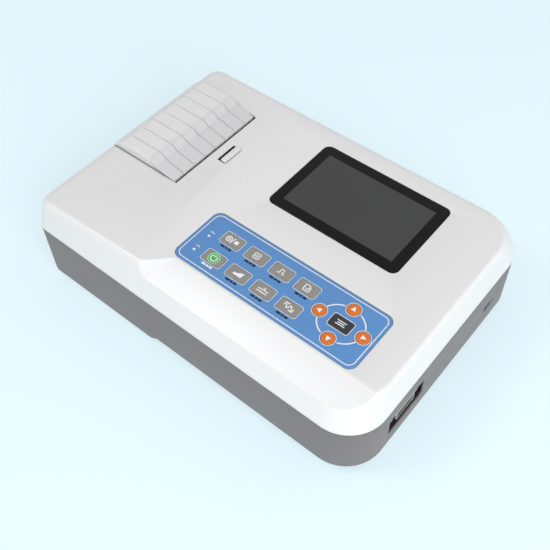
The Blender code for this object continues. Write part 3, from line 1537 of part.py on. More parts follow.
def make_battery():
    low_z = RAISED_FLOOR_Z + HATCH_THICKNESS + 2 * GAP
    block(
        "battery_pack",
        *centred(
            BATTERY_X, BATTERY_Y, BATTERY_WIDTH, BATTERY_DEPTH, low_z, low_z + BATTERY_HEIGHT
        ),
        "battery_blue",
        corner=HATCH_CORNER,
        axis=0,
        segments=3,
    )
    low, high = hatch_corners(0)
    plug_low, plug_high = hatch_corners(-HATCH_LEDGE - GAP)
    half_thickness = HATCH_THICKNESS / 2
    hatch = block(
        "battery_hatch",
        (*low, RAISED_FLOOR_Z),
        (*high, RAISED_FLOOR_Z + half_thickness),
        "grey_abs",
    )
    plug = block(
        "hatch_plug",
        (*plug_low, RAISED_FLOOR_Z + half_thickness / 2),
        (*plug_high, RAISED_FLOOR_Z + HATCH_THICKNESS),
    )
    apply_boolean(hatch, plug, "UNION")


def make_boards():
    board_z = RAISED_INNER_Z + BOARD_STANDOFF
    block(
        "main_board",
        (*MAIN_BOARD_LOW, board_z),
        (*MAIN_BOARD_HIGH, board_z + BOARD_THICKNESS),
        "board_green",
        corner=BOARD_CORNER,
        segments=2,
    )
    margin = BATTERY_CLEARANCE
    power_z = INNER_FLOOR_Z + POWER_BOARD_RISE
    block(
        "power_board",
        (BAY_LEFT_X + BAY_WALL + margin, BAY_FRONT_Y + BAY_WALL + margin, power_z),
        (BAY_RIGHT_X - BAY_WALL - margin, BAY_BACK_Y - BAY_WALL - margin, power_z + BOARD_THICKNESS),
        "board_green",
    )


def make_speaker():
    low_z = RAISED_INNER_Z + GAP
    cone = rod(
        "speaker",
        (SPEAKER_X, SPEAKER_Y, low_z),
        (SPEAKER_X, SPEAKER_Y, low_z + SPEAKER_HEIGHT / 2),
        SPEAKER_RADIUS,
        "black_pbt",
        24,
    )
    magnet = rod(
        "speaker_magnet",
        (SPEAKER_X, SPEAKER_Y, low_z + SPEAKER_HEIGHT / 4),
        (SPEAKER_X, SPEAKER_Y, low_z + SPEAKER_HEIGHT),
        SPEAKER_RADIUS * 0.6,
        None,
        20,
    )
    apply_boolean(cone, magnet, "UNION")


def main():
    make_top_shell()
    make_bottom_shell()
    make_feet()
    hinge = pivot("door_hinge", (HINGE_X, 0, HINGE_Z))
    make_paper_door(hinge)
    make_hinge_pin()
    make_printer_chassis()
    platen_axis = pivot("platen_axis", (PLATEN_X, 0, PLATEN_Z))
    idler_x, idler_z = idler_centre()
    pinion_x, pinion_z = pinion_centre()
    make_platen(platen_axis)
    make_gears(
        platen_axis,
        pivot("idler_axis", (idler_x, 0, idler_z)),
        pivot("pinion_axis", (pinion_x, 0, pinion_z)),
    )
    make_print_head()
    make_paper(pivot("roll_axis", (ROLL_X, 0, ROLL_Z)))
    make_latch(pivot("latch_slide", (LATCH_X, LATCH_Y, TOP_Z)))
    make_display()
    make_keypad()
    make_lead_connector()
    make_usb_port()
    make_mains_inlet()
    make_power_switch(pivot("rocker_axis", (SWITCH_X, BACK_WALL_Y - ROCKER_AXIS_DEPTH, INLET_Z)))
    make_earth_terminal()
    make_battery()
    make_boards()
    make_speaker()


clear_scene()
PARTS = make_collection("ecg_recorder")
CUTTERS = make_collection("cutters")
main()
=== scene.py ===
"""Looks of a desktop ECG recorder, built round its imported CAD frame: moulded shells, ribbed paper door,
display, membrane keypad, sockets, printer and a plain studio. Laid out as an add-on and run as a script."""

import json

import bmesh
import bpy
import numpy as np
from mathutils import Matrix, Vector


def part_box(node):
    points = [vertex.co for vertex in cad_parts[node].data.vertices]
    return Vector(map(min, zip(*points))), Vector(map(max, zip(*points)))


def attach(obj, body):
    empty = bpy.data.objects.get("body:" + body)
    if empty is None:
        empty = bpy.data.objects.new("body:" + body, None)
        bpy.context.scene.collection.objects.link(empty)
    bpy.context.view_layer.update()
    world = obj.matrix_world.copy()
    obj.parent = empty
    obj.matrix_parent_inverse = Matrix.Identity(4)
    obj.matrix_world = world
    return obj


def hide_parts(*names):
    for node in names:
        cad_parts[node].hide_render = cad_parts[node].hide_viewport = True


bl_info = {
    "name": "ECG recorder",
    "version": (1, 0, 0),
    "blender": (4, 5, 0),
    "location": "View3D > Sidebar > ECG recorder",
    "description": "Builds the visible pieces of a desktop ECG recorder around its CAD frame",
    "category": "Object",
}

MM = 0.001
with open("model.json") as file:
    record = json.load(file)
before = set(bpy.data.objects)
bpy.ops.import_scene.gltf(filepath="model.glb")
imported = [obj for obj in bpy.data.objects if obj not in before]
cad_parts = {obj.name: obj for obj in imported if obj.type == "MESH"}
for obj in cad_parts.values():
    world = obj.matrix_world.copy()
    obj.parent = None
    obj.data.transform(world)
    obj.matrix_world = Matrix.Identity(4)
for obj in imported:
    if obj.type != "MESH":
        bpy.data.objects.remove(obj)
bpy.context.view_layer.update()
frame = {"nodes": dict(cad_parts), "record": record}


def node_box(name):
    """Lowest and highest corner of a CAD node as numpy arrays."""
    low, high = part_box(name)
    return np.array(low), np.array(high)


def middle_of(name):
    """The centre of a CAD node's box."""
    low, high = node_box(name)
    return (low + high) / 2


CASE_LOW, CASE_HIGH = node_box("bottom_shell")
DECK_Z = float(node_box("top_shell")[1][2])
PARTING_Z = float(node_box("top_shell")[0][2])
DOOR_LOW, DOOR_HIGH = node_box("paper_door")
ROLLER_LOW, ROLLER_HIGH = node_box("platen_roller")
WINDOW_LOW, WINDOW_HIGH = node_box("display_window")
OVERLAY_LOW, OVERLAY_HIGH = node_box("keypad_overlay")
SQUARE_KEYS = (
    "key_start_stop", "key_mode", "key_calibrate", "key_home",
    "key_power", "key_record", "key_lead", "key_filter",
)
ARROW_KEYS = {"key_left": (-1, 0), "key_right": (1, 0), "key_up": (0, 1), "key_down": (0, -1)}


def linear(hex_colour):
    """An sRGB hex colour as linear RGB."""
    srgb = np.array([int(hex_colour[k : k + 2], 16) for k in (1, 3, 5)]) / 255
    return tuple(np.where(srgb <= 0.04045, srgb / 12.92, ((srgb + 0.055) / 1.055) ** 2.4))


# ---------------------------------------------------------------- user settings


def length(name, description, default):
    return bpy.props.FloatProperty(
        name=name, description=description, default=default, unit="LENGTH", precision=4
    )


def colour(name, description, hex_colour):
    return bpy.props.FloatVectorProperty(
        name=name, description=description, default=linear(hex_colour), subtype="COLOR", min=0, max=1
    )


class CaseSizes(bpy.types.PropertyGroup):
    """Sizes of the two shells and the paper door."""

    wall: length("Wall", "Thickness of the mouldings", 2.5 * MM)
    right_corner: length("Right corners", "Plan radius of the right-hand corners", 34 * MM)
    left_corner: length("Left corners", "Plan radius of the left-hand corners", 10 * MM)
    right_lean: length("Right lean", "How far the right side leans in up to the deck", 6 * MM)
    front_lean: length("Front lean", "How far the front leans in up to the deck", 13.5 * MM)
    left_front_lean: length("Left front lean", "The front's lean at its left end", 9.2 * MM)
    back_lean: length("Back lean", "How far the rounded back falls away", 13.2 * MM)
    left_rim: length("Left rim", "Radius along the deck's left edge", 5 * MM)
    rim: length("Rim", "Radius along the deck's other edges", 3.6 * MM)
    soft_edge: length("Strip edge", "Rounding between the wrist strip and the front", 1.8 * MM)
    edge: length("Edge radius", "Radius of the edges that cuts leave", 0.7 * MM)
    slope_inset: length("Wrist strip", "Depth of the sloping strip in front of the keypad", 34.3 * MM)
    slope_drop: length("Wrist drop", "How far the strip falls", 11.9 * MM)
    groove_pitch: length("Groove pitch", "Distance between the door's grooves", 13.4 * MM)
    groove_width: length("Groove width", "Width of the door's grooves", 2.0 * MM)
    groove_depth: length("Groove depth", "Depth of the door's grooves", 0.9 * MM)


class PanelSizes(bpy.types.PropertyGroup):
    """Sizes of the display window and of the keypad's print."""

    window_corner: length("Window corner", "Corner radius of the display window", 6 * MM)
    overlay_corner: length("Keypad corner", "Corner radius of the keypad", 7 * MM)
    view_width: length("Picture width", "Width of the live picture area", 108 * MM)
    view_depth: length("Picture depth", "Depth of the live picture area", 64.4 * MM)
    line: length("Line width", "Width of the printed outlines", 0.55 * MM)
    border_inset: length("Border inset", "From the keypad's edge to its printed border", 2.6 * MM)
    ring_x: length("Ring half width", "Half width of the printed ring", 19 * MM)
    ring_y: length("Ring half depth", "Half depth of the printed ring", 16.4 * MM)
    key_corner: length("Key corner", "Corner radius of the keys", 1.4 * MM)


class Colours(bpy.types.PropertyGroup):
    """Colours of the main materials."""

    white: colour("Upper case", "Off-white of the upper mouldings", "#E9E8E8")
    grey: colour("Lower case", "Grey of the lower moulding", "#7A7373")
    blue: colour("Keypad", "Printed blue of the keypad", "#5A90CC")
    key: colour("Keys", "Grey of the square keys", "#938F89")
    orange: colour("Arrow keys", "Orange of the arrow keys", "#E0751A")
    green: colour("Power dot", "Green of the power key's dot", "#35B840")


# ---------------------------------------------------------------- surfaces


def loft(rings, wrap=False):
    """Quads between successive closed rings, given as an array (ring, point, xyz). The end rings are
    capped, or joined to each other where wrap is set."""
    rings = np.asarray(rings, float)
    count, points = rings.shape[:2]
    index = np.arange(count * points).reshape(count, points)
    below = index if wrap else index[:-1]
    above = np.roll(index, -1, axis=0) if wrap else index[1:]
    quads = np.stack(
        [below, np.roll(below, -1, axis=1), np.roll(above, -1, axis=1), above], axis=-1
    ).reshape(-1, 4)
    faces = quads.tolist()
    if not wrap:
        faces += [index[0][::-1].tolist(), index[-1].tolist()]
    return rings.reshape(-1, 3), faces


def merge(*parts):
    """Several (vertices, faces) as one."""
    vertices = np.concatenate([part[0] for part in parts])
    starts = np.cumsum([0] + [len(part[0]) for part in parts[:-1]])
    faces = [[int(k + start) for k in f] for part, start in zip(parts, starts) for f in part[1]]
    return vertices, faces


def placed(outline, value, axis):
    """An outline at one place along an axis: its two coordinates go, in order, to the other two axes."""
    across, other = np.asarray(outline, float).T
    rest = np.full(len(across), value)
    order = {"x": (rest, across, other), "y": (across, rest, other), "z": (across, other, rest)}[axis]
    return np.column_stack(order)


def rounded_outline(width, depth, radius, segments=8):
    """A rectangle about the origin whose four corners are quarter circles, counter-clockwise."""
    radius = min(radius, width / 2 - 1e-6, depth / 2 - 1e-6)
    quarter = np.linspace(0, np.pi / 2, segments + 1)
    angle = (quarter[None] + np.arange(4)[:, None] * np.pi / 2).ravel()
    signs = np.repeat([[1, 1], [-1, 1], [-1, -1], [1, -1]], segments + 1, axis=0)
    centre = signs * [width / 2 - radius, depth / 2 - radius]
    return centre + radius * np.stack([np.cos(angle), np.sin(angle)], axis=1)


def pad(centre, width, depth, corner, low, high, fillet, dome=0.0, segments=8):
    """A plate with rounded corners in plan and a quarter-circle fillet round its top, crowned by dome:
    height rises as one minus the square of the distance from the centre."""
    turn = np.linspace(0, np.pi / 2, 5)
    insets = [0.0, *(fillet * (1 - np.cos(turn)))]
    heights = [low, *(high - dome - fillet + fillet * np.sin(turn))]
    if dome:
        share = np.linspace(0, 1, 6)[1:-1]
        insets += list(fillet + share * (min(width, depth) / 2 - fillet) * 0.98)
        heights += list(high - dome * (1 - share) ** 2)
    rings = []
    for inset, z in zip(insets, heights):
        ring = rounded_outline(width - 2 * inset, depth - 2 * inset, max(corner - inset, 1e-4), segments)
        rings.append(placed(ring + centre, z, "z"))
    return loft(rings)


AXIS_HOLE = 0.01 * MM  # where a turned profile ends beside its axis: the caps then have an area


def revolve(profile, centre, axis="z", segments=48):
    """A (radius, height) profile turned round an axis through centre: each point runs round a circle."""
    profile = np.asarray(profile, float)
    angle = np.linspace(0, 2 * np.pi, segments, endpoint=False)
    ring = profile[:, 0, None]
    across, up = ring * np.cos(angle), ring * np.sin(angle)
    along = np.broadcast_to(profile[:, 1, None], across.shape)
    order = {"z": (across, up, along), "y": (up, along, across), "x": (along, across, up)}[axis]
    return loft(np.stack(order, axis=-1) + np.asarray(centre))


def ribbon(path, width, low, high, closed=True):
    """A flat strip of even width along a path in plan: the path is moved to each side by half the
    width along its normal, at a low and a high level."""
    path = np.asarray(path, float)
    if closed:
        run = np.roll(path, -1, axis=0) - np.roll(path, 1, axis=0)
    else:
        run = np.gradient(path, axis=0)
    run /= np.linalg.norm(run, axis=1)[:, None] + 1e-12
    side = np.column_stack([-run[:, 1], run[:, 0]]) * width / 2
    levels = [(path + side, low), (path + side, high), (path - side, high), (path - side, low)]
    return loft(np.stack([placed(xy, z, "z") for xy, z in levels], axis=1), wrap=closed)


def prism(outline, start, end, axis="y"):
    """An outline drawn out straight along one axis; the outline gives the other two coordinates."""
    return loft([placed(outline, value, axis) for value in (start, end)])


def rod(radius, start, end, axis, centre, segments=48):
    """A solid round bar along an axis, its ends start and end measured from centre."""
    profile = [(AXIS_HOLE, start), (radius, start), (radius, end), (AXIS_HOLE, end)]
    return revolve(profile, centre, axis, segments)


def box(low, high):
    """A box between two corners."""
    corners = [(low[0], low[1]), (high[0], low[1]), (high[0], high[1]), (low[0], high[1])]
    return prism(corners, low[2], high[2], "z")


def mesh_from(name, part):
    """Mesh data from (vertices, faces), with all faces turned outwards."""
    vertices, faces = part
    mesh = bpy.data.meshes.new(name)
    mesh.from_pydata(np.asarray(vertices).tolist(), [], faces)
    bm = bmesh.new()
    bm.from_mesh(mesh)
    bmesh.ops.recalc_face_normals(bm, faces=bm.faces)
    bm.to_mesh(mesh)
    bm.free()
    return mesh


def put(name, part, material, body="root", nodes=(), sharp=32):
    """Puts a piece in the scene, riding on a CAD body and standing for CAD nodes."""
    obj = bpy.data.objects.new(name, mesh_from(name, part))
    bpy.context.scene.collection.objects.link(obj)
    obj.data.materials.append(material)
    shade(obj, sharp)
    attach(obj, body)
    if nodes:
        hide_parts(*nodes)
    return obj


def shade(obj, sharp=32):
    obj.data.shade_smooth()
    obj.data.set_sharp_from_angle(angle=np.radians(sharp))


def bake_modifiers(obj):
    """Replaces the object's mesh by what its modifiers make of it."""
    graph = bpy.context.evaluated_depsgraph_get()
    made = bpy.data.meshes.new_from_object(obj.evaluated_get(graph))
    obj.modifiers.clear()
    obj.data = made


def taken_apart(obj):
    """The object's (vertices, faces); the object is removed."""
    vertices = np.array([v.co for v in obj.data.vertices])
    faces = [list(p.vertices) for p in obj.data.polygons]
    bpy.data.objects.remove(obj)
    return vertices, faces


def cut(obj, *parts, edge=0.0, sharp=32):
    """Cuts parts out of the object, then rounds every edge sharper than 34 degrees to the radius edge."""
    helpers = []
    for number, part in enumerate(parts):
        name = f"{obj.name}_cutter_{number}"
        helper = bpy.data.objects.new(name, mesh_from(name, part))
        bpy.context.scene.collection.objects.link(helper)
        helpers.append(helper)
        modifier = obj.modifiers.new(name, "BOOLEAN")
        modifier.operation = "DIFFERENCE"
        modifier.solver = "EXACT"
        modifier.object = helper
    if edge:
        modifier = obj.modifiers.new("edges", "BEVEL")
        modifier.width = edge
        modifier.segments = 3
        modifier.limit_method = "ANGLE"
        modifier.angle_limit = np.radians(34)
        modifier.use_clamp_overlap = True
    bpy.context.view_layer.update()
    bake_modifiers(obj)
    for helper in helpers:
        bpy.data.objects.remove(helper)
    shade(obj, sharp)
    return obj


# ---------------------------------------------------------------- materials


def add(tree, kind, links=None, **settings):
    """Adds one node: links gives a value or another node's socket for each input, settings its options."""
    made = tree.nodes.new(f"ShaderNode{kind}")
    for key, value in settings.items():
        setattr(made, key, value)
    for key, value in (links or {}).items():
        socket = made.inputs[key]
        if isinstance(value, bpy.types.NodeSocket):
            tree.links.new(value, socket)
        else:
            socket.default_value = value
    return made


def shader_tree(name):
    material = bpy.data.materials.new(name)
    material.use_nodes = True
    material.node_tree.nodes.clear()
    return material, material.node_tree


def surface(
    name, base, roughness, ior=1.5, metallic=0.0, grain=0.6 * MM, relief=0.02 * MM, variation=0.05,
    wear_and_highlight=0.25, coat=0.0, stretch=(1, 1, 1), edge=0.45 * MM, crevice_shade=0.35, paint=None,
):
    """The common build of every finish: a broad tint drift, a fine grain that sets the bump and the
    roughness, painted shade that darkens crevices by ambient occlusion, and edges painted lighter, partly
    wear and partly a painted highlight. paint may change the base colour: it gets the tree, the coordinates
    and the colour socket so far."""
    if name in bpy.data.materials:
        return bpy.data.materials[name]
    material, tree = shader_tree(name)
    base = (*base[:3], 1)
    coords = add(tree, "TexCoord").outputs["Object"]
    turned = add(tree, "Mapping", {"Vector": coords, "Scale": stretch}).outputs[0]
    drift = add(tree, "TexNoise", {"Vector": coords, "Scale": 28.0, "Detail": 4.0})
    fine = add(tree, "TexNoise", {"Vector": turned, "Scale": 1 / grain, "Detail": 3.0})
    dark = tuple(c * (1 - variation) for c in base[:3]) + (1,)
    light = tuple(min(c * (1 + variation), 1) for c in base[:3]) + (1,)
    tint = add(
        tree, "Mix", {0: drift.outputs["Fac"], 6: dark, 7: light}, data_type="RGBA"
    ).outputs[2]
    if paint:
        tint = paint(tree, coords, tint)
    # Painted shade: ambient occlusion darkens crevices, grooves and recesses.
    open_air = add(tree, "AmbientOcclusion", {"Distance": 3 * MM}, samples=6).outputs["AO"]
    painted_shade = add(tree, "MapRange", {"Value": open_air, 1: 0.35, 2: 0.85, 3: 1 - crevice_shade, 4: 1.0}).outputs[0]
    tint = add(
        tree, "Mix", {0: 1.0, 6: tint, 7: painted_shade}, data_type="RGBA", blend_type="MULTIPLY"
    ).outputs[2]
    # Edges painted lighter: partly handling wear, partly a painted highlight.
    rounded = add(tree, "Bevel", {"Radius": edge}, samples=4).outputs[0]
    flat = add(tree, "NewGeometry").outputs["Normal"]
    facing = add(tree, "VectorMath", {0: rounded, 1: flat}, operation="DOT_PRODUCT")
    turned_edge = {"Value": facing.outputs["Value"], 1: 0.995, 2: 0.8, 3: 0.0, 4: wear_and_highlight}
    worn_and_highlit = add(tree, "MapRange", turned_edge).outputs[0]
    for shelter in (painted_shade, open_air):
        worn_and_highlit = add(tree, "Math", {0: worn_and_highlit, 1: shelter}, operation="MULTIPLY").outputs[0]
    bright = tuple(min(c * 1.25 + 0.04, 1) for c in base[:3]) + (1,)
    colour_out = add(tree, "Mix", {0: worn_and_highlit, 6: tint, 7: bright}, data_type="RGBA").outputs[2]
    height = fine.outputs["Fac"]
    spread = {"Value": height, 1: 0.3, 2: 0.7, 3: roughness * 0.88, 4: roughness * 1.12}
    rough = add(tree, "MapRange", spread).outputs[0]
    relief_links = {"Height": height, "Strength": 1.0, "Distance": relief, "Normal": rounded}
    bump = add(tree, "Bump", relief_links).outputs[0]
    finish = {"Base Color": colour_out, "Roughness": rough, "Metallic": metallic, "Normal": bump}
    shader = add(tree, "BsdfPrincipled", finish)
    if not metallic:
        shader.inputs["IOR"].default_value = ior
    shader.inputs["Coat Weight"].default_value = coat
    add(tree, "OutputMaterial", {"Surface": shader.outputs[0]})
    return material


def colours():
    return bpy.context.scene.ecg_colours


def abs_white(kind="", paint=None):
    # Spark-eroded ABS: a fine even grain that spreads highlights; edges painted lighter, partly wear and
    # partly a painted highlight, and crevices darker with painted shade.
    return surface(
        "ABS moulded off-white" + kind, colours().white, 0.3, 1.53, grain=0.9 * MM, relief=0.005 * MM,
        variation=0.012, wear_and_highlight=0.6, crevice_shade=0.6, paint=paint,
    )


def painted_rim_highlight(tree, coords, tint):
    """Painted highlight: the sloping rims and the wrist strip are painted paler, with a mask that is one
    where the normal leans by between about 20 and 55 degrees, and falls to nothing at the level deck and at
    the upright walls."""
    normal = add(tree, "NewGeometry").outputs["Normal"]
    upward = add(tree, "SeparateXYZ", {0: normal}).outputs["Z"]
    sloping = add(tree, "MapRange", {"Value": upward, 1: 0.985, 2: 0.93, 3: 0.0, 4: 0.75}).outputs[0]
    not_wall = add(tree, "MapRange", {"Value": upward, 1: 0.3, 2: 0.6, 3: 0.0, 4: 1.0}).outputs[0]
    mask = add(tree, "Math", {0: sloping, 1: not_wall}, operation="MULTIPLY").outputs[0]
    highlight_white = (*linear("#F2F2F2"), 1)
    return add(tree, "Mix", {0: mask, 6: tint, 7: highlight_white}, data_type="RGBA").outputs[2]


def painted_slope_shade(tree, coords, tint):
    """Painted shade: the door's slope is painted a shade darker, a ramp on X across the curve above it."""
    across = add(tree, "SeparateXYZ", {0: coords}).outputs["X"]
    start = DOOR_LOW[0] + 46 * MM
    mask = add(tree, "MapRange", {"Value": across, 1: start, 2: start + 5 * MM, 3: 0.0, 4: 1.0}).outputs[0]
    slope_shade_grey = (*linear("#D6D5D6"), 1)
    return add(tree, "Mix", {0: mask, 6: tint, 7: slope_shade_grey}, data_type="RGBA").outputs[2]


def abs_grey():
    # The same ABS in grey, with a coarser texture that hides scuffs.
    return surface(
        "ABS moulded grey", colours().grey, 0.5, 1.53, grain=0.9 * MM, relief=0.015 * MM,
        variation=0.03, wear_and_highlight=0.35,
    )


def black_plastic():
    # Glass-filled PBT: near black, faintly mottled, dull.
    return surface(
        "PBT moulded black", linear("#1A1A1B"), 0.48, 1.55, grain=0.7 * MM, variation=0.1, wear_and_highlight=0.3
    )


def acetal():
    # Machined acetal: waxy, milky, low gloss.
    return surface("Acetal moulded natural", linear("#DCD9CD"), 0.38, 1.48, variation=0.03, wear_and_highlight=0.2)


def rubber():
    # Moulded rubber: black, matt, dusty in its grain.
    return surface(
        "Rubber moulded black", linear("#242424"), 0.8, 1.52, grain=0.8 * MM, relief=0.05 * MM,
        variation=0.12, wear_and_highlight=0.3,
    )


def steel():
    # Nickel-plated steel: bright, with fine drawn lines along one direction.
    return surface(
        "Steel nickel plated", linear("#E2E2E3"), 0.28, metallic=1.0, grain=0.5 * MM,
        relief=0.008 * MM, stretch=(1, 0.1, 1), variation=0.05, wear_and_highlight=0.3,
    )


def aluminium():
    # Extruded aluminium: pale, with die lines along its length.
    return surface(
        "Aluminium extruded", linear("#C6C8CA"), 0.35, metallic=1.0, grain=0.5 * MM,
        relief=0.01 * MM, stretch=(1, 0.05, 1), variation=0.04,
    )


def board():
    # Solder mask over copper: glossy green with darker and lighter tracks, drawn 2 mm wide.
    def tracks(tree, coords, tint):
        cells = add(tree, "TexBrick", {"Vector": coords, "Scale": 60.0, 1: (0.01, 0.09, 0.04, 1)})
        return add(tree, "Mix", {0: 0.45, 6: tint, 7: cells.outputs[0]}, data_type="RGBA").outputs[2]

    return surface(
        "Solder mask green", linear("#17603A"), 0.3, 1.55, variation=0.1, coat=0.3, paint=tracks
    )


def ink(name, hex_colour):
    # Screen-printed ink under a satin film.
    return surface(
        name, linear(hex_colour), 0.4, 1.5, grain=0.4 * MM, relief=0.004 * MM, variation=0.02, wear_and_highlight=0.0
    )


def white_ink():
    return ink("Screen ink white", "#F4F5F7")


def film(name, base):
    # Printed polyester film over a key: satin, with an orange-peel surface about 0.5 mm wide.
    return surface(
        name, base, 0.34, 1.57, grain=0.5 * MM, relief=0.006 * MM, variation=0.02, wear_and_highlight=0.3,
        coat=0.15,
    )


def paper():
    # Thermal paper: matt, fibrous, off-white.
    return surface(
        "Thermal paper", linear("#EFEEE8"), 0.85, 1.45, grain=0.4 * MM, relief=0.01 * MM,
        stretch=(1, 0.08, 1), variation=0.03, wear_and_highlight=0.0,
    )


# ---------------------------------------------------------------- upper and lower shell


FACET_X = CASE_LOW[0] + 113 * MM  # where the wrist strip's end facet meets the deck's front edge
FACET_BACK_X = CASE_LOW[0] + 135 * MM  # where it meets the strip's back edge
FACET_TOE_X = CASE_LOW[0] + 125 * MM  # where it runs out on the front, this far below the deck:
FACET_DROP = 10 * MM
STEP_FOOT_X = CASE_LOW[0] + 111 * MM  # the underside's step: its foot, then its upper end
STEP_TOP_X = CASE_LOW[0] + 135 * MM
FAR = 1.0  # past every piece: a cutter that reaches this far leaves nothing standing


def case_ring(z, inset, sizes):
    """The case's outline at each height, as the X and the Y of every point, each (height, point): a
    rectangle with round corners, upright to the parting. Above it every side leans in by its own
    amount, the back by a power of the height, and the left edge turns over in a quarter circle."""
    z = np.asarray(z, float)[:, None]
    inset = np.asarray(inset, float)[:, None]
    half_width = (CASE_HIGH[0] - CASE_LOW[0]) / 2
    half_depth = (CASE_HIGH[1] - CASE_LOW[1]) / 2
    up = np.clip((z - PARTING_Z) / (DECK_Z - PARTING_Z), 0, 1)
    turn = np.clip((z - DECK_Z + sizes.left_rim) / sizes.left_rim, 0, 1)
    left = -half_width + inset + sizes.left_rim * (1 - np.sqrt(1 - turn**2))
    right = half_width - inset - sizes.right_lean * up
    back = half_depth - inset - sizes.back_lean * up**1.6
    right_front = -half_depth + inset + sizes.front_lean * up
    left_front = -half_depth + inset + sizes.left_front_lean * up
    large = np.maximum(sizes.right_corner - inset, 1 * MM)
    small = np.maximum(sizes.left_corner - inset, 1 * MM)
    xs, ys = [], []
    for x, y, radius, start, segments in (
        (right - large, right_front + large, large, -90, 30),
        (right - large, back - large, large, 0, 30),
        (left + small, back - small, small, 90, 12),
        (left + small, left_front + small, small, 180, 12),
    ):
        angle = np.radians(start + np.linspace(0, 90, segments + 1))[None]
        xs.append(x + radius * np.cos(angle))
        ys.append(y + radius * np.sin(angle))
    xs.append(np.full_like(z, FACET_X))
    ys.append(right_front)
    return np.concatenate(xs, axis=1), np.concatenate(ys, axis=1)


def case_loft(z, outline_z, inset, sizes):
    across, deep = case_ring(outline_z, inset, sizes)
    height = np.broadcast_to(np.asarray(z, float)[:, None], across.shape)
    return loft(np.stack([across, deep, height], axis=-1))


def slope_form(lower, sizes):
    """The space above the wrist strip, bounded by the strip's plane and the plane of its end facet:
    the corners of a wedge, each where those planes meet the deck's level and the case's front."""
    front = CASE_LOW[1]
    start_y = front + sizes.slope_inset
    slope = sizes.slope_drop / sizes.slope_inset
    end_y = front - 10 * MM
    high = DECK_Z + 60 * MM
    corner = np.array([FACET_X, front + sizes.front_lean, DECK_Z])
    back = np.array([FACET_BACK_X, start_y, DECK_Z])
    toe = np.array([FACET_TOE_X, front + sizes.front_lean * 0.6, DECK_Z - FACET_DROP])
    normal = np.cross(back - corner, toe - corner)

    def facet_point(y, z):
        """The point of the facet's plane at this Y and Z."""
        x = corner[0] - (normal[1] * (y - corner[1]) + normal[2] * (z - corner[2])) / normal[0]
        return x, y, z - lower

    end_z = DECK_Z - (start_y - end_y) * slope
    places = ((start_y, DECK_Z), (start_y, high), (end_y, high), (end_y, end_z))
    ring = [facet_point(y, z) for y, z in places]
    far_x = CASE_HIGH[0] + 10 * MM
    return loft([ring, [(far_x, y, z) for _, y, z in ring]])


def latch_slot():
    """The two corners in plan of the slot in which the door release slides."""
    low, high = node_box("latch_button")
    return low[:2] - [2.6 * MM, 0.3 * MM], high[:2] + [-0.4 * MM, 0.3 * MM]


def upper_levels(sizes):
    """Heights and insets from the parting up to the deck, ending in a quarter-circle rim."""
    share = np.linspace(0, 1, 22)
    body = PARTING_Z + (DECK_Z - sizes.rim - PARTING_Z) * (1 - (1 - share) ** 1.6)
    turn = np.linspace(0, np.pi / 2, 11)[1:]
    rim = DECK_Z - sizes.rim + sizes.rim * np.sin(turn)
    return np.r_[body, rim], np.r_[np.zeros(22), sizes.rim * (1 - np.cos(turn))]


class ECG_OT_upper_shell(bpy.types.Operator):
    """Upper shell: leaning sides, rounded back, wrist strip with its facet, and openings"""

    bl_idname = "ecg.upper_shell"
    bl_label = "Upper shell"

    def execute(self, context):
        sizes = context.scene.ecg_case
        z, inset = upper_levels(sizes)
        skirt = PARTING_Z - 8 * MM
        # The shell's finish carries a painted highlight on its sloping rims and wrist strip.
        shell = put(
            "upper_shell", case_loft(np.r_[skirt, z], np.r_[skirt, z], np.r_[0, inset], sizes),
            abs_white(" handled", painted_rim_highlight), nodes=("top_shell",),
        )
        inner_z = np.r_[PARTING_Z - 12 * MM, z[1:22] - sizes.wall, DECK_Z - sizes.wall]
        inner = case_loft(
            inner_z,
            np.r_[PARTING_Z, z[1:22], DECK_Z],
            np.full(23, sizes.wall) + np.r_[np.zeros(22), sizes.rim],
            sizes,
        )
        cut(shell, slope_form(0, sizes), edge=sizes.soft_edge)
        hollow = put("hollow", inner, abs_white(" handled", painted_rim_highlight))
        cut(hollow, slope_form(sizes.wall, sizes))
        above = DECK_Z + 10 * MM
        below = DECK_Z - 10 * MM
        notch_z = DOOR_LOW[2] - 5 * MM
        slot = 0.5 * MM
        slot_end = DOOR_HIGH[0] + 1.6 * MM
        opening = box((-FAR, DOOR_LOW[1] - slot, notch_z), (slot_end, DOOR_HIGH[1] + slot, above))
        seam = 0.35 * MM
        recesses = []
        for low, high, corner in (
            (WINDOW_LOW, WINDOW_HIGH, context.scene.ecg_panel.window_corner),
            (OVERLAY_LOW, OVERLAY_HIGH, context.scene.ecg_panel.overlay_corner),
        ):
            centre = (low + high)[:2] / 2
            size = (high - low)[:2] + 2 * seam
            outline = rounded_outline(*size, corner + seam, 10) + centre
            recesses.append(prism(outline, low[2] - 0.2 * MM, above, "z"))
        slot_low, slot_high = latch_slot()
        latch = box((*slot_low, below), (*slot_high, above))
        skirt_waste = box((-FAR, -FAR, skirt - 5 * MM), (FAR, FAR, PARTING_Z))
        cut(
            shell, skirt_waste, taken_apart(hollow), opening, *recesses, latch, edge=sizes.edge, sharp=17
        )
        return {"FINISHED"}


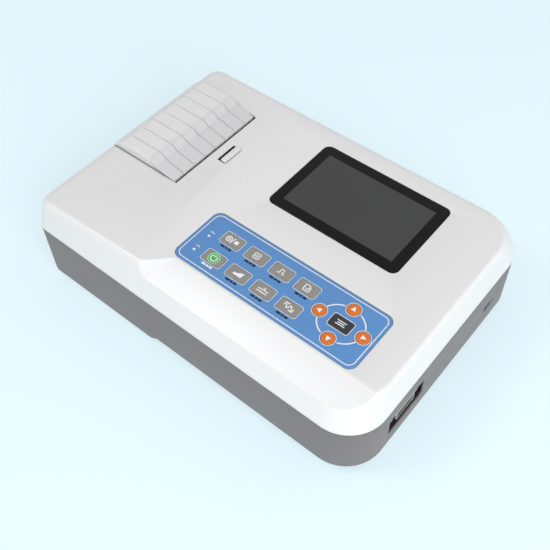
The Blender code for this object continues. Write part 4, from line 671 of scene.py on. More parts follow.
class ECG_OT_lower_shell(bpy.types.Operator):
    """Lower shell: deep block on the left, raised underside on the right, socket openings"""

    bl_idname = "ecg.lower_shell"
    bl_label = "Lower shell"

    def execute(self, context):
        sizes = context.scene.ecg_case
        floor = CASE_LOW[2]
        top = CASE_HIGH[2]
        raised = float(node_box("battery_hatch")[0][2])
        radius = 4 * MM
        turn = np.linspace(0, np.pi / 2, 7)
        seam = 0.4 * MM
        z = np.r_[floor + radius * (1 - np.cos(turn)), top - seam, top - seam, top]
        inset = np.r_[radius * (1 - np.sin(turn)), 0, seam, seam]
        outline_z = np.full(len(z), PARTING_Z)
        shell = put(
            "lower_shell", case_loft(z, outline_z, inset, sizes), abs_grey(),
            nodes=("bottom_shell",),
        )
        deep = floor - 9 * MM

        def step(shift, height):
            """The space under the raised floor, moved to the left by shift and up to height."""
            foot = (STEP_FOOT_X - 2 * shift, deep)
            return prism([foot, (STEP_TOP_X - shift, height), (FAR, height), (FAR, deep)], -FAR, FAR)

        inner_z = np.r_[z[:7] + sizes.wall, top + 5 * MM]
        inner_inset = np.r_[inset[:7], 0] + sizes.wall
        hollow = put("hollow", case_loft(inner_z, outline_z[:8], inner_inset, sizes), abs_grey())
        cut(hollow, step(2 * MM, raised + sizes.wall))
        cut(shell, step(0, raised), taken_apart(hollow), *self.openings(raised), edge=sizes.edge)
        bosses = []
        for name in ("foot_front_right", "foot_back_right"):
            centre, sole = middle_of(name), node_box(name)[1][2]
            profile = [(AXIS_HOLE, sole), (7.4 * MM, sole), (8 * MM, sole + 0.6 * MM)]
            profile += [(8.4 * MM, raised), (9 * MM, raised + 1 * MM), (AXIS_HOLE, raised + 1 * MM)]
            bosses.append(revolve(profile, (centre[0], centre[1], 0)))
        put("foot_posts", merge(*bosses), abs_grey())
        self.lead_recess()
        return {"FINISHED"}

    def openings(self, raised):
        """Boxes at the sockets and hatch, a round hole at the earth post, and sound slots under the
        speaker: five chords of a circle, each as long as the circle is wide there."""
        wall_x, wall_y = CASE_HIGH[:2]
        gap = 0.35 * MM
        parts = []
        low, high = self.recess()
        mouth = rounded_outline(*(high - low)[1:], 3 * MM) + (low + high)[1:] / 2
        parts.append(prism(mouth, low[0] - 4 * MM, wall_x + 5 * MM, "x"))
        low, high = node_box("usb_port")
        parts.append(box(low - [0, gap, gap], high + [5 * MM, gap, gap]))
        for name in ("mains_inlet", "power_switch_body"):
            low, high = node_box(name)
            parts.append(box((low[0] - gap, wall_y - 8 * MM, low[2] - gap), high + [gap, 5 * MM, gap]))
        centre = middle_of("earth_terminal")
        parts.append(rod(3.4 * MM, -8 * MM, 5 * MM, "y", (centre[0], wall_y, centre[2]), 32))
        low, high = node_box("battery_hatch")
        parts.append(box(low - [gap, gap, 5 * MM], high + [gap, gap, 0.3 * MM]))
        centre = middle_of("speaker")
        for step in np.linspace(-9 * MM, 9 * MM, 5):
            half = np.sqrt((11 * MM) ** 2 - step**2)
            slot = rounded_outline(2 * half, 1.8 * MM, 0.9 * MM, 5) + [centre[0], centre[1] + step]
            parts.append(prism(slot, raised - 3 * MM, raised + 1.5 * MM, "z"))
        return parts

    def recess(self):
        """The lead socket's recess: wider than its flange and open at the right-hand wall."""
        low, high = node_box("lead_connector_shell")
        margin = np.array([0.3 * MM, 3.4 * MM, 4.2 * MM])
        return low - margin, high + margin

    def lead_recess(self):
        """A five-sided cup behind the wall: an outer and an inner rounded box, one inside the other."""
        low, high = self.recess()
        centre, (wide, tall) = (low + high)[1:] / 2, (high - low)[1:]
        rings = []
        front, floor = CASE_HIGH[0] - 1 * MM, low[0] - 0.1 * MM
        for x, grow in (
            (floor, -8 * MM), (floor, -0.05 * MM), (front, -0.05 * MM), (front, 1.5 * MM),
            (floor - 1.4 * MM, 1.5 * MM), (floor - 1.4 * MM, -8 * MM),
        ):
            rings.append(placed(rounded_outline(wide + 2 * grow, tall + 2 * grow, 3 * MM) + centre, x, "x"))
        # Moulded black; the black also stands in for the shade deep inside the recess.
        put("lead_recess", loft(rings), black_plastic())


# ---------------------------------------------------------------- paper door


SHOULDER_RUN, SHOULDER_RISE = 16 * MM, 15.3 * MM  # the door's rounded left shoulder
BEND_X = DOOR_LOW[0] + 49 * MM  # where the hump starts down to the shelf
BEND_RUN, BEND_DROP = 9 * MM, 5 * MM
LIP_ROUND = 0.7 * MM  # rounding of the door's free edge
EDGE_ROLL = 1.2 * MM  # rounding of its front and back edges


def door_profile():
    """The door's section in X and Z as (point, 2): up the left side, over a shoulder that is a squared
    ellipse, along the hump, down a cosine curve to the shelf and straight to the paper slot."""
    left, crest = DOOR_LOW[0], DOOR_HIGH[2]
    end_x = node_box("latch_bar")[0][0] + 0.5 * MM
    turn = np.linspace(0.02, np.pi / 2, 26)
    shoulder_x = left + SHOULDER_RUN - SHOULDER_RUN * np.cos(turn) ** 1.25
    shoulder_z = crest - SHOULDER_RISE + SHOULDER_RISE * np.sin(turn) ** 1.25
    wall_z = np.linspace(DOOR_LOW[2], shoulder_z[0], 6)[:-1]
    flat = np.linspace(left + SHOULDER_RUN, BEND_X, 10)[1:-1]
    share = np.linspace(0, 1, 16)
    curve_x = BEND_X + share * BEND_RUN
    curve_z = crest - BEND_DROP * 0.5 * (1 - np.cos(np.pi * share))
    shelf_x, shelf_z = BEND_X + BEND_RUN, crest - BEND_DROP
    slope_x = np.linspace(shelf_x, end_x - LIP_ROUND, 12)[1:]
    slope_z = shelf_z + (slope_x - shelf_x) / (end_x - shelf_x) * (DECK_Z - shelf_z)
    end_turn = np.linspace(0, np.pi / 2, 5)[1:]
    lip_x = end_x - LIP_ROUND + LIP_ROUND * np.sin(end_turn)
    lip_z = slope_z[-1] - LIP_ROUND * (1 - np.cos(end_turn))
    x = np.r_[np.full(5, left), shoulder_x, flat, curve_x, slope_x, lip_x, end_x]
    z = np.r_[wall_z, shoulder_z, np.full(8, crest), curve_z, slope_z, lip_z, DECK_Z - 3 * MM]
    points = np.column_stack([x, z])
    run = np.gradient(points, axis=0)
    run /= np.linalg.norm(run, axis=1)[:, None]
    normal = np.column_stack([-run[:, 1], run[:, 0]])
    return points, normal


class ECG_OT_paper_door(bpy.types.Operator):
    """Paper door: a ribbed skin with two cheeks that carry the platen"""

    bl_idname = "ecg.paper_door"
    bl_label = "Paper door"

    def execute(self, context):
        sizes = context.scene.ecg_case
        points, normal = door_profile()
        front, back = DOOR_LOW[1], DOOR_HIGH[1]
        middle = (front + back) / 2
        grooves = middle + sizes.groove_pitch * np.arange(-3, 4)
        around = np.linspace(-0.6, 0.6, 13) * sizes.groove_width
        edge = EDGE_ROLL * (1 - np.cos(np.linspace(0, np.pi / 2, 7)))
        at_grooves = (grooves[:, None] + around).ravel()
        y = np.r_[np.linspace(front, back, 40), at_grooves, front + edge, back - edge]
        y = np.unique(np.round(y, 6))
        # Each groove is a raised cosine across and fades out where the skin turns down at the left.
        offset = (y[:, None] - grooves[None]) / (sizes.groove_width / 2)
        across = (np.where(np.abs(offset) < 1, 0.5 * (1 + np.cos(np.pi * offset)), 0)).sum(axis=1)
        fade = np.clip((points[:, 0] - DOOR_LOW[0] - 3 * MM) / (14 * MM), 0, 1) ** 1.5
        fade[-6:] *= np.linspace(1, 0.4, 6)
        from_edge = np.minimum(y - front, back - y)
        over = np.clip(1 - from_edge / EDGE_ROLL, 0, 1)
        roll = EDGE_ROLL * (1 - np.sqrt(1 - over**2))
        sink = sizes.groove_depth * across[:, None] * fade[None] + roll[:, None]
        outer = points[None] - normal[None] * sink[..., None]
        inner = np.broadcast_to((points - normal * sizes.wall)[None, ::-1], outer.shape)
        section = np.concatenate([outer, inner], axis=1)
        depth = np.broadcast_to(y[:, None], section.shape[:2])
        skin = loft(np.stack([section[..., 0], depth, section[..., 1]], axis=-1))
        # The door's finish carries painted shade on its slope.
        finish = abs_white(" frosted", painted_slope_shade)
        door = put("ribbed_door", skin, finish, "paper_door", ("paper_door",), 50)
        lugs_front, lugs_back = (corner[1] for corner in node_box("printer_chassis"))
        slots = []
        for start, end in (
            (lugs_front - 0.5 * MM, lugs_front + 5.5 * MM), (lugs_back - 5.5 * MM, lugs_back + 0.5 * MM)
        ):
            slots.append(box((-FAR, start, 0), (DOOR_LOW[0] + 3.3 * MM, end, DOOR_LOW[2] + 12 * MM)))
        cut(door, *slots)
        shade(door, 50)
        self.cheeks(points, normal)
        return {"FINISHED"}

    def cheeks(self, points, normal):
        """Two plates whose upper edge follows the skin and whose lower edge passes under the platen shaft,
        each with a small catch block.
        """
        shaft, hinge = middle_of("platen_shaft"), middle_of("door_hinge_pin")
        top = (points - normal * 1.3 * MM)[3:-3]
        foot_z = shaft[2] - 4 * MM
        corner_x = shaft[0] + 4 * MM
        under = np.array(
            [
                (corner_x, DECK_Z - 5 * MM),
                (corner_x, foot_z),
                (shaft[0] - 5 * MM, foot_z),
                (BEND_X + 6 * MM, foot_z + 3 * MM),
                (hinge[0] + 8 * MM, foot_z + 3 * MM),
                (hinge[0] + 4.5 * MM, DOOR_LOW[2]),
                (DOOR_LOW[0] + 1 * MM, DOOR_LOW[2]),
            ]
        )
        outline = np.concatenate([top, under])
        parts = []
        for low, high in (
            (DOOR_LOW[1] + 0.2 * MM, DOOR_LOW[1] + 2 * MM),
            (DOOR_HIGH[1] - 2 * MM, DOOR_HIGH[1] - 0.2 * MM),
        ):
            parts.append(prism(outline, low, high))
            catch_top = node_box("latch_bar")[0][2] - 0.3 * MM
            parts.append(
                box(
                    (corner_x - 1 * MM, low + 0.1 * MM, catch_top - 2.6 * MM),
                    (corner_x + 3.2 * MM, high - 0.1 * MM, catch_top),
                )
            )
        put("door_cheeks", merge(*parts), abs_white(), "paper_door")


# ---------------------------------------------------------------- display, keypad, latch


class ECG_OT_display(bpy.types.Operator):
    """Display window: a polished black plate with the picture area behind it"""

    bl_idname = "ecg.display"
    bl_label = "Display window"

    def execute(self, context):
        sizes = context.scene.ecg_panel
        low, high = WINDOW_LOW, WINDOW_HIGH
        centre, size = (low + high)[:2] / 2, (high - low)[:2]
        face = high[2] + 0.15 * MM
        plate = pad(centre, *size, sizes.window_corner, low[2], face, 0.5 * MM, segments=12)

        def picture(tree, coords, tint):
            """Lightens the picture area: a box mask on X and Y with an edge 0.4 mm wide."""
            place = add(tree, "Mapping", {"Vector": coords, "Location": (-centre[0], -centre[1], 0)})
            split = add(tree, "SeparateXYZ", {0: place.outputs[0]})
            masks = []
            for axis, half in (("X", sizes.view_width / 2), ("Y", sizes.view_depth / 2)):
                away = add(tree, "Math", {0: split.outputs[axis]}, operation="ABSOLUTE").outputs[0]
                edge = {"Value": away, 1: half, 2: half + 0.4 * MM, 3: 1.0, 4: 0.0}
                masks.append(add(tree, "MapRange", edge).outputs[0])
            inside = add(tree, "Math", {0: masks[0], 1: masks[1]}, operation="MULTIPLY").outputs[0]
            grey = (*linear("#464646"), 1)
            return add(tree, "Mix", {0: inside, 6: tint, 7: grey}, data_type="RGBA").outputs[2]

        # Polished acrylic with an anti-reflective coating over a black surround: sharp, dim reflections.
        glass = surface(
            "Acrylic polished black", linear("#0C0C0D"), 0.12, 1.49, grain=6 * MM, relief=0.004 * MM,
            variation=0.05, wear_and_highlight=0.2, paint=picture,
        )
        for node in glass.node_tree.nodes:
            if node.type == "BSDF_PRINCIPLED":
                node.inputs["Specular IOR Level"].default_value = 0.3
        put("display_glass", plate, glass, nodes=("display_window",))
        return {"FINISHED"}


def glyph(kind, size):
    """The strokes of a key's symbol, each an array of points within a square of the given size."""
    circle = np.linspace(0, 2 * np.pi, 25)
    open_arc = np.linspace(0.5, 5.84, 22)
    ring = np.column_stack([np.cos(circle), np.sin(circle)])
    wave = np.linspace(-1, 1, 33)
    beat = np.interp(wave, [-1, -0.5, -0.3, -0.1, 0.1, 0.3, 1], [0, 0, 0.3, -0.5, 1, 0, 0])
    grid = [(-0.8, -0.8), (0.8, -0.8), (0.8, 0.8), (-0.8, 0.8), (-0.8, -0.8)]
    strokes = {
        "key_start_stop": [
            0.75 * ring + [-1.15, 0], 0.25 * ring + [-1.15, 0], [(-0.25, -1), (0.25, 1)],
        ],
        "key_mode": [grid, [(0, -0.8), (0, 0.8)], [(-0.8, 0), (0.8, 0)]],
        "key_calibrate": [[(-1, -0.6), (-0.4, -0.6), (-0.4, 0.7), (0.4, 0.7), (0.4, -0.6), (1, -0.6)]],
        "key_home": [
            [(0.1, 0.9), (-0.8, 0.9), (-0.8, -0.9), (0.8, -0.9), (0.8, 0.2), (0.1, 0.9)],
            [(-0.3, -0.1), (0, -0.45), (0.45, 0.25)],
        ],
        "key_power": [
            0.85 * np.column_stack([np.sin(open_arc), np.cos(open_arc)]),
            [(0, 0.25), (0, 1.0)],
        ],
        "key_lead": [np.column_stack([1.5 * wave, beat]), [(-1.5, -0.7), (1.5, -0.7)]],
        "key_filter": [
            np.column_stack([1.5 * wave, 0.5 * np.sin(2 * np.pi * wave)]),
            [(-1.5, 0.8), (-0.2, 0.8)], [(0.3, -0.8), (1.5, -0.8)],
        ],
    }.get(kind, [])
    return [np.asarray(stroke, float) * size for stroke in strokes]


SYMBOL = 3.3 * MM  # one unit of the symbols' drawings
FILLED = {
    "key_start_stop": [(0.6, -0.55), (1.7, -0.55), (1.7, 0.55), (0.6, 0.55)],
    "key_record": [(-1.4, -0.7), (1.2, -0.7), (1.4, 0.8), (0.3, 0.5), (-0.2, 0.1), (-1.1, 0.0)],
}


def dense(path, step):
    """The same open path with a point about every step, by linear interpolation along its length."""
    path = np.asarray(path, float)
    along = np.r_[0, np.cumsum(np.linalg.norm(np.diff(path, axis=0), axis=1))]
    at = np.unique(np.r_[along, np.linspace(0, along[-1], max(int(along[-1] / step), 2))])
    return np.column_stack([np.interp(at, along, path[:, k]) for k in (0, 1)])


class ECG_OT_keypad(bpy.types.Operator):
    """Keypad film with its printed border, key outlines, ring and labels"""

    bl_idname = "ecg.keypad"
    bl_label = "Keypad film"

    def execute(self, context):
        sizes = context.scene.ecg_panel
        low, high = OVERLAY_LOW, OVERLAY_HIGH
        centre, size = (low + high)[:2] / 2, (high - low)[:2]
        plate = pad(centre, *size, sizes.overlay_corner, low[2], high[2], 0.25 * MM, segments=12)
        blue = film("Polyester film printed blue", colours().blue)
        film_obj = put("keypad_film", plate, blue, nodes=("keypad_overlay",))
        holes = []
        for name in (*SQUARE_KEYS, "key_centre"):
            a, b = node_box(name)
            outline = rounded_outline(*(b - a)[:2] + 0.5 * MM, sizes.key_corner + 0.2 * MM, 5)
            holes.append(prism(outline + (a + b)[:2] / 2, low[2] - 1 * MM, high[2] + 1 * MM, "z"))
        for name in ARROW_KEYS:
            a, b = node_box(name)
            middle = (*(a + b)[:2] / 2, high[2])
            holes.append(rod((b - a)[0] / 2 + 0.25 * MM, -2 * MM, 2 * MM, "z", middle, 40))
        cut(film_obj, merge(*holes))
        self.print_lines(centre, size, sizes)
        return {"FINISHED"}

    def print_lines(self, centre, size, sizes):
        """The white print: flat strips 0.04 mm thick on the film."""
        low, high = OVERLAY_HIGH[2] - 0.02 * MM, OVERLAY_HIGH[2] + 0.04 * MM
        inset = sizes.border_inset
        border = rounded_outline(*(size - 2 * inset), sizes.overlay_corner - inset * 0.5, 12) + centre
        parts = [ribbon(border, 0.8 * MM, low, high)]
        for name in (*SQUARE_KEYS, "key_centre"):
            a, b = node_box(name)
            outline = rounded_outline(*(b - a)[:2] + 1.3 * MM, sizes.key_corner + 0.6 * MM, 6)
            parts.append(ribbon(outline + (a + b)[:2] / 2, sizes.line, low, high))
        ring_centre = middle_of("key_centre")[:2]
        angle = np.linspace(0, 2 * np.pi, 96, endpoint=False)
        ellipse = np.column_stack([sizes.ring_x * np.cos(angle), sizes.ring_y * np.sin(angle)])
        key_radius = (node_box("key_up")[1] - node_box("key_up")[0])[0] / 2
        gap = key_radius + 0.9 * MM
        for start in range(4):
            part = (angle >= start * np.pi / 2) & (angle < (start + 1) * np.pi / 2)
            arc = ellipse[part]
            far = np.hypot(*(np.abs(arc) - [sizes.ring_x, 0]).T) > gap
            far &= np.hypot(*(np.abs(arc) - [0, sizes.ring_y]).T) > gap
            parts.append(ribbon(arc[far] + ring_centre, 1.1 * MM, low, high, closed=False))
        for name in ARROW_KEYS:
            a, b = node_box(name)
            radius = (b - a)[0] / 2 + 0.7 * MM
            round_path = radius * np.column_stack([np.cos(angle), np.sin(angle)]) + (a + b)[:2] / 2
            parts.append(ribbon(round_path, sizes.line, low, high))
        for name in ("light_mains", "light_battery"):
            spot = middle_of(name)[:2] + [0, 4.4 * MM]
            beat = [(-1.6, 0), (-0.5, 0), (0.2, 0.9), (0.6, -0.9), (1.2, 0), (2.2, 0)]
            mark = dense(beat, 0.4) * 1.15 * MM + spot
            parts.append(ribbon(mark, 0.75 * MM, low, high, closed=False))
        put("keypad_print", merge(*parts), white_ink())
        self.print_labels(low, high)

    def print_labels(self, low, high):
        """Three short bars under each key in place of a word."""
        bars, white_bars = [], []
        for name in SQUARE_KEYS:
            row = white_bars if name == "key_power" else bars
            start = middle_of(name)[0] - 5.4 * MM
            y = node_box(name)[0][1] - 3.9 * MM
            for width in (4.0 * MM, 2.2 * MM, 3.4 * MM):
                row.append(box((start, y, low), (start + width, y + 1.9 * MM, high)))
                start += width + 0.6 * MM
        put("keypad_power_label", merge(*white_bars), white_ink())
        put("keypad_labels", merge(*bars), ink("Screen ink dark blue", "#14213F"))


CAP_FILLET, CAP_DOME = 0.35 * MM, 0.12 * MM  # rounding and crown of every key
INK_UNDER, INK_OVER = 0.12 * MM, 0.03 * MM  # how far print starts below a key's top and stands over it


class ECG_OT_keys(bpy.types.Operator):
    """Square keys, centre key and arrow keys, each crowned, with its printed symbol"""

    bl_idname = "ecg.keys"
    bl_label = "Keys"

    def execute(self, context):
        corner = context.scene.ecg_panel.key_corner
        grey = film("Polyester film printed grey", colours().key)
        charcoal = film("Polyester film printed charcoal", linear("#2E2F35"))
        for name in (*SQUARE_KEYS, "key_centre"):
            low, high = node_box(name)
            part = pad(
                (low + high)[:2] / 2, *(high - low)[:2], corner, low[2], high[2], CAP_FILLET, CAP_DOME, 6
            )
            finish, slot = (charcoal, "key_dark") if name == "key_centre" else (grey, "key_grey")
            put(f"cap_{name}", part, finish, name, (name,), 45)
        for name in SQUARE_KEYS:
            self.symbol(name)
        self.centre_symbol()
        for name, out in ARROW_KEYS.items():
            self.arrow_key(name, np.array(out, float))
        for name in ("light_mains", "light_battery"):
            low, high = node_box(name)
            dot = pad(
                (low + high)[:2] / 2, 2.4 * MM, 2.4 * MM, 1.2 * MM, low[2], high[2] + 0.15 * MM,
                0.1 * MM, 0.1 * MM, 6,
            )
            lens = surface("Acrylic moulded clear white", linear("#F2F6FA"), 0.2, 1.49, variation=0.02)
            put(f"lens_{name}", dot, lens, nodes=(name,))
        return {"FINISHED"}

    def symbol(self, name):
        """A square key's strokes and filled shape; the power key's stand on a round green spot."""
        centre, top = middle_of(name)[:2], node_box(name)[1][2]
        low, high = top - INK_UNDER, top + INK_OVER
        parts = []
        if name == "key_power":
            green = film("Polyester film printed green", colours().green)
            spot = pad(
                centre, 11.6 * MM, 11.2 * MM, 5.6 * MM, top - 0.3 * MM, top + 0.05 * MM, 0.1 * MM,
                0.02 * MM, 12,
            )
            put("power_dot", spot, green, name)
            low, high = top, top + 0.09 * MM
            angle = np.linspace(0, 2 * np.pi, 48, endpoint=False)
            rim = 4.9 * MM * np.column_stack([np.cos(angle), np.sin(angle)]) + centre
            parts.append(ribbon(rim, 0.5 * MM, low, high))
        for stroke in glyph(name, SYMBOL):
            parts.append(ribbon(dense(stroke, 0.4 * MM) + centre, 1.0 * MM, low, high, closed=False))
        if name in FILLED:
            parts.append(prism(np.array(FILLED[name]) * SYMBOL + centre, low, high, "z"))
        put(f"symbol_{name}", merge(*parts), white_ink(), name)

    def centre_symbol(self):
        """Three bars, the middle one shorter, 0.8 mm wide and 1.7 mm apart."""
        x, y = middle_of("key_centre")[:2]
        top = node_box("key_centre")[1][2]
        rows = []
        for half, up in ((4.2 * MM, 1.3 * MM), (3.2 * MM, -0.4 * MM), (4.2 * MM, -2.1 * MM)):
            rows.append(
                box((x - half, y + up, top - INK_UNDER), (x + half, y + up + 0.8 * MM, top + INK_OVER))
            )
        put("symbol_key_centre", merge(*rows), white_ink(), "key_centre")

    def arrow_key(self, name, out):
        """A round key with a triangle that points along out."""
        low, high = node_box(name)
        centre, width = (low + high)[:2] / 2, (high - low)[0]
        part = pad(centre, width, width, width / 2, low[2], high[2], CAP_FILLET, CAP_DOME, 12)
        orange = film("Polyester film printed orange", colours().orange)
        put(f"cap_{name}", part, orange, name, (name,), 45)
        side = np.array([-out[1], out[0]])
        corners = np.array([out * 2.9, -out * 1.3 + side * 2.1, -out * 1.3 - side * 2.1]) * MM + centre
        triangle = prism(corners, high[2] - INK_UNDER, high[2] + INK_OVER, "z")
        put(f"symbol_{name}", triangle, white_ink(), name)


class ECG_OT_latch(bpy.types.Operator):
    """Door release cap with a crowned, ridged face"""

    bl_idname = "ecg.latch"
    bl_label = "Door release"

    def execute(self, context):
        low, high = node_box("latch_button")
        cap_z = DECK_Z + 0.3 * MM
        shown_low = low[:2] + [1.1 * MM, 0]
        shown = (shown_low + high[:2]) / 2
        cap = pad(shown, *(high[:2] - shown_low), 0.9 * MM, cap_z, high[2], 0.5 * MM, 0.1 * MM, 5)
        stem = box(
            (low[0] + 1.4 * MM, low[1] + 1 * MM, low[2]),
            (low[0] + 2.6 * MM, high[1] - 1 * MM, cap_z + 0.5 * MM),
        )
        ridges = []
        ridge_width = (high - low)[0] - 3.6 * MM
        for y in np.linspace(low[1] + 4 * MM, high[1] - 4 * MM, 6):
            ridge = pad(
                (shown[0], y), ridge_width, 0.8 * MM, 0.35 * MM, high[2] - 0.3 * MM, high[2] + 0.2 * MM,
                0.2 * MM, 0, 4,
            )
            ridges.append(ridge)
        # Painted shade: a black sleeve lines the slot so that it shows dark, standing in for the shade
        # inside it.
        slot_low, slot_high = latch_slot()
        middle, wide = (slot_low + slot_high) / 2, slot_high - slot_low
        rings = []
        for z, inset in (
            (DECK_Z - 5 * MM, 0.05 * MM), (DECK_Z - 0.5 * MM, 0.05 * MM), (DECK_Z - 0.5 * MM, 0.5 * MM),
            (DECK_Z - 5 * MM, 0.5 * MM),
        ):
            rings.append(placed(rounded_outline(*(wide - 2 * inset), 0.3 * MM, 3) + middle, z, "z"))
        put("slot_shade_liner", loft(rings, wrap=True), black_plastic())
        put("release_cap", merge(cap, stem, *ridges), abs_white(), "latch", ("latch_button",))
        return {"FINISHED"}


# ---------------------------------------------------------------- sockets


class ECG_OT_lead_socket(bpy.types.Operator):
    """Lead socket: flange, D-shaped collar, insert with fifteen contacts, jack posts"""

    bl_idname = "ecg.lead_socket"
    bl_label = "Lead socket"

    def execute(self, context):
        low, high = node_box("lead_connector_shell")
        insert_low, insert_high = node_box("lead_connector_insert")
        centre = (low + high)[1:] / 2
        face_x = low[0] + 1 * MM
        wide, tall = insert_high[1] - insert_low[1], insert_high[2] - insert_low[2]
        flange = rounded_outline(high[1] - low[1], high[2] - low[2], 2 * MM)
        rings = []
        for x, outline in (
            (low[0], flange), (face_x - 0.3 * MM, flange), (face_x, flange * 0.985),
            (face_x, self.dee(wide + 3.4 * MM, tall + 3.4 * MM)),
            (face_x + 1.2 * MM, self.dee(wide + 1.8 * MM, tall + 1.8 * MM)),
            (high[0] - 0.2 * MM, self.dee(wide + 1.8 * MM, tall + 1.8 * MM)),
            (high[0], self.dee(wide + 1.4 * MM, tall + 1.4 * MM)),
            (high[0], self.dee(wide + 0.6 * MM, tall + 0.6 * MM)),
            (low[0] + 0.2 * MM, self.dee(wide + 0.6 * MM, tall + 0.6 * MM)),
        ):
            rings.append(placed(outline + centre, x, "x"))
        put("socket_shell", loft(rings), steel(), nodes=("lead_connector_shell",))
        core = self.dee(wide, tall)
        face = insert_high[0] + 3.7 * MM
        ends = ((insert_low[0], 1), (face - 0.3 * MM, 1), (face, 0.97))
        body = loft([placed(core * k + centre, x, "x") for x, k in ends])
        put("socket_insert", body, black_plastic(), nodes=("lead_connector_insert",))
        contacts = []
        for row, count in ((1.42 * MM, 8), (-1.42 * MM, 7)):
            for k in range(count):
                y = (k - (count - 1) / 2) * 2.4 * MM
                cup = [(0.25 * MM, -0.3 * MM), (0.6 * MM, -0.3 * MM), (0.75 * MM, 0.08 * MM),
                       (0.45 * MM, 0.08 * MM), (0.4 * MM, -0.25 * MM)]
                contacts.append(revolve(cup, (face, centre[0] + y, centre[1] + row), "x", 14))
        brass = surface("Brass gold flashed", linear("#C9A24E"), 0.3, metallic=1.0, variation=0.05)
        put("socket_contacts", merge(*contacts), brass)
        for name in ("jack_post_front", "jack_post_back"):
            self.jack_post(name, face_x + 0.3 * MM)
        return {"FINISHED"}

    def jack_post(self, name, base):
        """A hexagonal post with a hollow end, on a round stud."""
        low, high = node_box(name)
        y, z = middle_of(name)[1:]
        angle = np.linspace(0, 2 * np.pi, 6, endpoint=False)
        hexagon = np.column_stack([np.cos(angle), np.sin(angle)])
        rings = []
        for x, radius in (
            (base, 2.5 * MM), (base + 0.2 * MM, 2.7 * MM), (high[0] - 0.4 * MM, 2.7 * MM),
            (high[0], 2.35 * MM), (high[0], 1.3 * MM), (base + 1.5 * MM, 1.3 * MM),
        ):
            rings.append(placed(radius * hexagon + [y, z], x, "x"))
        stud = rod(1.4 * MM, low[0], base, "x", (0, y, z), 16)
        put(f"hex_{name}", merge(loft(rings), stud), steel(), nodes=(name,), sharp=25)

    def dee(self, wide, tall):
        """A rounded rectangle whose sides lean in towards the bottom by a tenth of its height."""
        outline = rounded_outline(wide, tall, min(2.2 * MM, tall / 2.2), 8)
        outline[:, 0] *= 1 + 0.1 * outline[:, 1] / wide
        return outline


class ECG_OT_usb_port(bpy.types.Operator):
    """USB port: a folded steel box with a tongue"""

    bl_idname = "ecg.usb_port"
    bl_label = "USB port"

    def execute(self, context):
        low, high = node_box("usb_port")
        centre = (low + high)[1:] / 2
        wide, tall = high[1] - low[1], high[2] - low[2]
        rings = []
        for x, grow in (
            (low[0], 0), (high[0] - 0.2 * MM, 0), (high[0], -0.15 * MM), (high[0], -0.5 * MM),
            (low[0] + 0.7 * MM, -0.6 * MM),
        ):
            outline = rounded_outline(wide + 2 * grow, tall + 2 * grow, 0.8 * MM, 4)
            rings.append(placed(outline + centre, x, "x"))
        put("usb_shell", loft(rings), steel(), nodes=("usb_port",))
        tongue = box(
            (low[0] + 0.8 * MM, centre[0] - 5.6 * MM, centre[1] + 0.2 * MM),
            (high[0] - 1.2 * MM, centre[0] + 5.6 * MM, centre[1] + 2 * MM),
        )
        put("usb_tongue", tongue, black_plastic())
        return {"FINISHED"}


class ECG_OT_power_inlet(bpy.types.Operator):
    """Mains inlet with three blades, switch frame and earth post on the back wall"""

    bl_idname = "ecg.power_inlet"
    bl_label = "Mains inlet and switch"

    def execute(self, context):
        for name, corner in (("mains_inlet", 4 * MM), ("power_switch_body", 1 * MM)):
            low, high = node_box(name)
            centre, (wide, tall) = (low + high)[::2] / 2, (high - low)[::2]
            wall = 2 * MM if name == "mains_inlet" else 1.2 * MM
            rings = []
            for y, grow in (
                (low[1], 0), (high[1] - 0.3 * MM, 0), (high[1], -0.3 * MM),
                (high[1], -wall + 0.4 * MM), (high[1] - 0.4 * MM, -wall), (low[1] + wall, -wall),
            ):
                outline = rounded_outline(wide + 2 * grow, tall + 2 * grow, max(corner + grow, 0.5 * MM), 6)
                rings.append(placed(outline + centre, y, "y"))
            put(f"frame_{name}", loft(rings), black_plastic(), nodes=(name,))
            if name == "mains_inlet":
                blades = []
                for shift in ((-7 * MM, -1.5 * MM), (0, 2.5 * MM), (7 * MM, -1.5 * MM)):
                    blade = rounded_outline(2 * MM, 4 * MM, 0.5 * MM, 3) + (centre + shift)
                    blades.append(prism(blade, low[1] + wall - 0.1 * MM, high[1] - 3 * MM))
                put("inlet_blades", merge(*blades), steel())
        where = middle_of("earth_terminal")
        foot, tip = (corner[1] for corner in node_box("earth_terminal"))
        profile = [(AXIS_HOLE, foot), (2.9 * MM, foot), (2.9 * MM, tip - 0.5 * MM), (2.4 * MM, tip),
                   (1.6 * MM, tip), (1.6 * MM, tip - 2 * MM), (AXIS_HOLE, tip - 2 * MM)]
        put(
            "earth_post", revolve(profile, (where[0], 0, where[2]), "y", 32), steel(),
            nodes=("earth_terminal",),
        )
        return {"FINISHED"}


# ---------------------------------------------------------------- printer, feet and the rest


